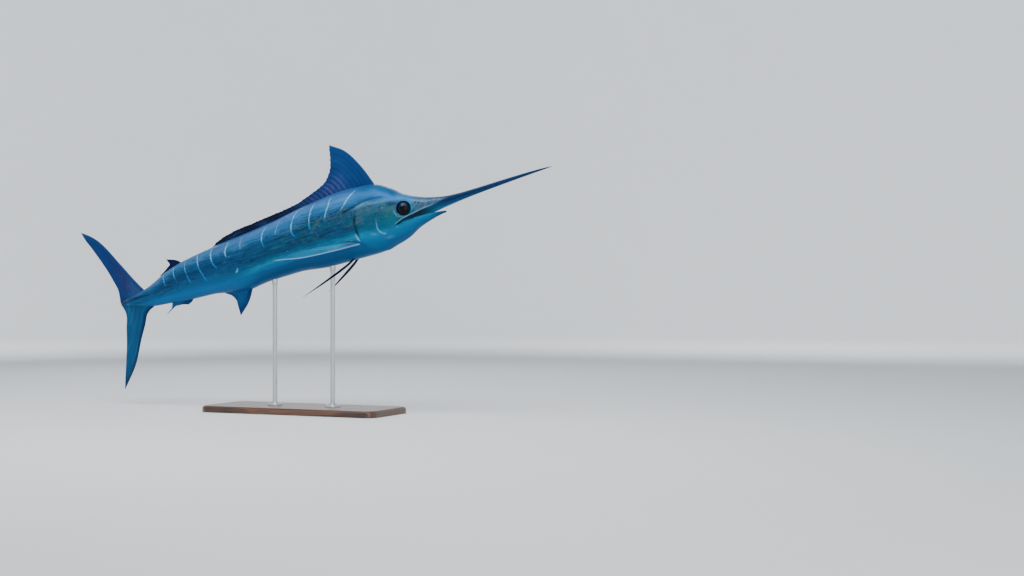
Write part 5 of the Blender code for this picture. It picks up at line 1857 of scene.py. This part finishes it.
def makeWood():
    material, tree, shader = newMaterial("oiledWood", roughness=0.42, coat=0.25, coatRoughness=0.25)
    place = objectPlace(tree)
    grainPlace = vectorCalc(tree, "MULTIPLY", place, (1.3, 11.0, 11.0))
    warp = noise(tree, grainPlace, 1.6, 3.0, 0.55, 0.6)
    rings = addNode(
        tree, "ShaderNodeTexWave", Vector=grainPlace, Scale=1.1, Distortion=7.0, Detail=3.0,
        Detail_Scale=1.2)
    rings.wave_type = "BANDS"
    rings.bands_direction = "Y"
    pores = stretchedNoise(tree, place, (9.0, 420.0, 420.0), 3.0, 0.6)
    share = scaled(tree, rings.outputs["Fac"], 0.55, calc(tree, "MULTIPLY", warp, 0.5))
    colour = colourRamp(tree, share, (
        (0.15, 44, 26, 17), (0.45, 72, 43, 27), (0.7, 96, 60, 38),
        (0.95, 60, 36, 23)))
    colour = blendColour(tree, between(tree, pores, 0.56, 0.68, 0.0, 0.6), colour, paint(24, 14, 9))
    tree.links.new(colour, shader.inputs["Base Color"])
    tree.links.new(scaled(tree, pores, 0.22, 0.28), shader.inputs["Roughness"])
    addBump(tree, shader, pores, 0.25, 0.0008)
    return material


def makeSteel():
    material, tree, shader = newMaterial("brushedSteel", roughness=0.3, metallic=1.0)
    shader.inputs["Anisotropic"].default_value = 0.35
    place = objectPlace(tree)
    strokes = stretchedNoise(tree, place, (900.0, 900.0, 14.0), 3.0, 0.6)
    smudges = maskOf(tree, mottleGroup, Place=place, Scale=16.0, Low=0.45, High=0.75)
    colour = blendColour(tree, between(tree, strokes, 0.3, 0.7), paint(176, 177, 180), paint(206, 207, 209))
    tree.links.new(colour, shader.inputs["Base Color"])
    rough = scaled(tree, strokes, 0.16, 0.2)
    tree.links.new(scaled(tree, smudges, 0.07, rough), shader.inputs["Roughness"])
    addBump(tree, shader, strokes, 0.12, 0.0003)
    return material


# Build

skinMaterial = makeSkinMaterial()
skinPiece = makeSkin(skinMaterial)
print("skin:", len(skinPiece.data.polygons), "faces")
eyeMaterial = makeEyeMaterial()
sideWords = {-1: "right", 1: "left"}
for side, word in sideWords.items():
    eyePiece = makeEye(side, word, eyeMaterial)
    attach(eyePiece, "root")
    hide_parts("eye_" + word)
    rim = makeEyeRim(side, word, skinMaterial)
    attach(rim, "root")
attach(skinPiece, "root")
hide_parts("head", "bill", "lower_jaw", "torso_front", "torso_rear", "tail_stalk")
print("eyes and rims made")

raisedRays = makeRaisedRays()
for name, fin in fins.items():
    fin = {**finDefaults, **fin}
    look = finLook[fin["look"]]
    finMaterial = makeFinMaterial(name + "Web", look, fin["rays"])
    for side, word in ((1, "left"), (-1, "right")) if "chordWay" in fin else ((1, ""),):
        pieceName = f"{name}.{word}" if word else name
        blank = finBlank(pieceName, fin, side)
        piece = throughTree(
            blank, raisedRays, Rays=float(fin["rays"]), Ridge=fin["ridge"], Ridge_Share=look["rayShare"],
            Branching=fin["branching"], Material=finMaterial)
        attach(piece, "root")
        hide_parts(*(f"{node}_{word}" if word else node for node in fin["replaces"]))
        print(pieceName, len(piece.data.polygons), "faces")

wood, steel = makeWood(), makeSteel()
basePiece = makeBase(wood)
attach(basePiece, "root")
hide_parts("stand_base")
boltRing = makeBoltRing()
for end, top in rodTops.items():
    foot = top + midBody
    rod = turned("standRod." + end, rodProfile(foot[2]), foot, steel)
    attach(rod, "root")
    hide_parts("stand_rod_" + end)
    seed = makeMesh("standBolts." + end, [(0.0, 0.0, 0.0)], [])
    boltsUp = baseTop + stand["footHeight"] + stand["boltsOverFoot"]
    bolts = throughTree(
        seed, boltRing, Count=stand["bolts"], Ring_Radius=stand["boltCircle"],
        Head_Radius=stand["boltRadius"], Head_Height=stand["boltHeight"],
        Centre=(float(foot[0]), float(foot[1]), boltsUp), Material=steel)
    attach(bolts, "root")
print("stand made")

# Stage, light and camera

stage = {
    "floorRadius": 15.0,
    "curveRadius": 7.0,
    "wallHeight": 14.0,
    "turns": 96,
    "curveSteps": 14,
    "colour": paint(222, 226, 230),
    "cloudTint": 0.97,
    "worldStrength": 0.55,
    # (name, place, aim, width, length, power)
    "lamps": (
        ("keyAbove", (0.6, -2.6, 5.2), (0.1, 0.0, 1.0), 5.0, 3.0, 330.0),
        ("fillCamera", (5.5, -6.5, 2.6), (0.0, 0.0, 0.9), 4.0, 3.0, 150.0),
        ("rimBehind", (-3.0, 4.5, 4.0), (0.0, 0.0, 1.0), 4.0, 2.0, 90.0)),
    "wallLamps": 6,
    "wallLampRadius": 9.0,
    "wallLampHeight": 6.5,
    "wallLampSize": (5.0, 3.0, 900.0),
    "wallLampAim": 3.0,
}


def makeStage():
    floor, bend = stage["floorRadius"], stage["curveRadius"]
    curve = np.radians(np.linspace(0, 90, stage["curveSteps"]))
    profile = [(floor + bend * math.sin(a), bend * (1 - math.cos(a))) for a in curve]
    profile.append((floor + bend, stage["wallHeight"]))
    turns = np.linspace(0, 2 * np.pi, stage["turns"], endpoint=False)
    points = [(0.0, 0.0, 0.0)] + [(r * math.cos(a), r * math.sin(a), h) for r, h in profile for a in turns]
    rings = ringNumbers(len(profile), len(turns), 1)
    faces = fanFaces(rings[0], 0, True) + tubeFaces(rings)
    material, tree, shader = newMaterial("paleStage", roughness=0.9)
    clouds = noise(tree, objectPlace(tree), 1.2, 3.0, 0.5)
    tint = tuple(c * stage["cloudTint"] for c in stage["colour"])
    tree.links.new(blendColour(tree, clouds, stage["colour"], tint), shader.inputs["Base Color"])
    piece = makeMesh("stageFloor", points, faces, material)


def addLamp(name, place, aim, width, length, power):
    lamp = bpy.data.lights.new(name, "AREA")
    lamp.shape = "RECTANGLE"
    lamp.size, lamp.size_y, lamp.energy = width, length, power
    item = bpy.data.objects.new(name, lamp)
    item.visible_camera = False
    bpy.context.scene.collection.objects.link(item)
    item.location = place
    item.rotation_euler = (Vector(aim) - Vector(place)).to_track_quat("-Z", "Y").to_euler()


def makeLights():
    for lampValues in stage["lamps"]:
        addLamp(*lampValues)
    # a ring of lamps that face outwards lights the wall of the bowl
    wall = stage["floorRadius"] + stage["curveRadius"]
    for k in range(stage["wallLamps"]):
        turn = 2 * math.pi * (k + 0.5) / stage["wallLamps"]
        way = np.array((math.cos(turn), math.sin(turn), 0.0))
        place = way * stage["wallLampRadius"] + (0.0, 0.0, stage["wallLampHeight"])
        aim = way * wall + (0.0, 0.0, stage["wallLampAim"])
        addLamp(f"wall.{k}", tuple(place), tuple(aim), *stage["wallLampSize"])
    world = bpy.data.worlds.new("softStudio")
    world.use_nodes = True
    background = world.node_tree.nodes["Background"]
    background.inputs["Color"].default_value = (0.93, 0.96, 1.0, 1.0)
    background.inputs["Strength"].default_value = stage["worldStrength"]
    bpy.context.scene.world = world


camera = {
    "place": (5.07448, -8.30676, 0.7515),
    "turn": math.radians(24.0),
    "lens": 56.25,
    "sensor": 36.0,
}


def makeCamera():
    data = bpy.data.cameras.new("view")
    data.lens = camera["lens"]
    data.sensor_width = camera["sensor"]
    item = bpy.data.objects.new("view", data)
    item.location = camera["place"]
    item.rotation_euler = (math.pi / 2, 0.0, camera["turn"])
    bpy.context.scene.collection.objects.link(item)
    bpy.context.scene.camera = item


makeStage()
makeLights()
makeCamera()
print("stage, light and camera made")
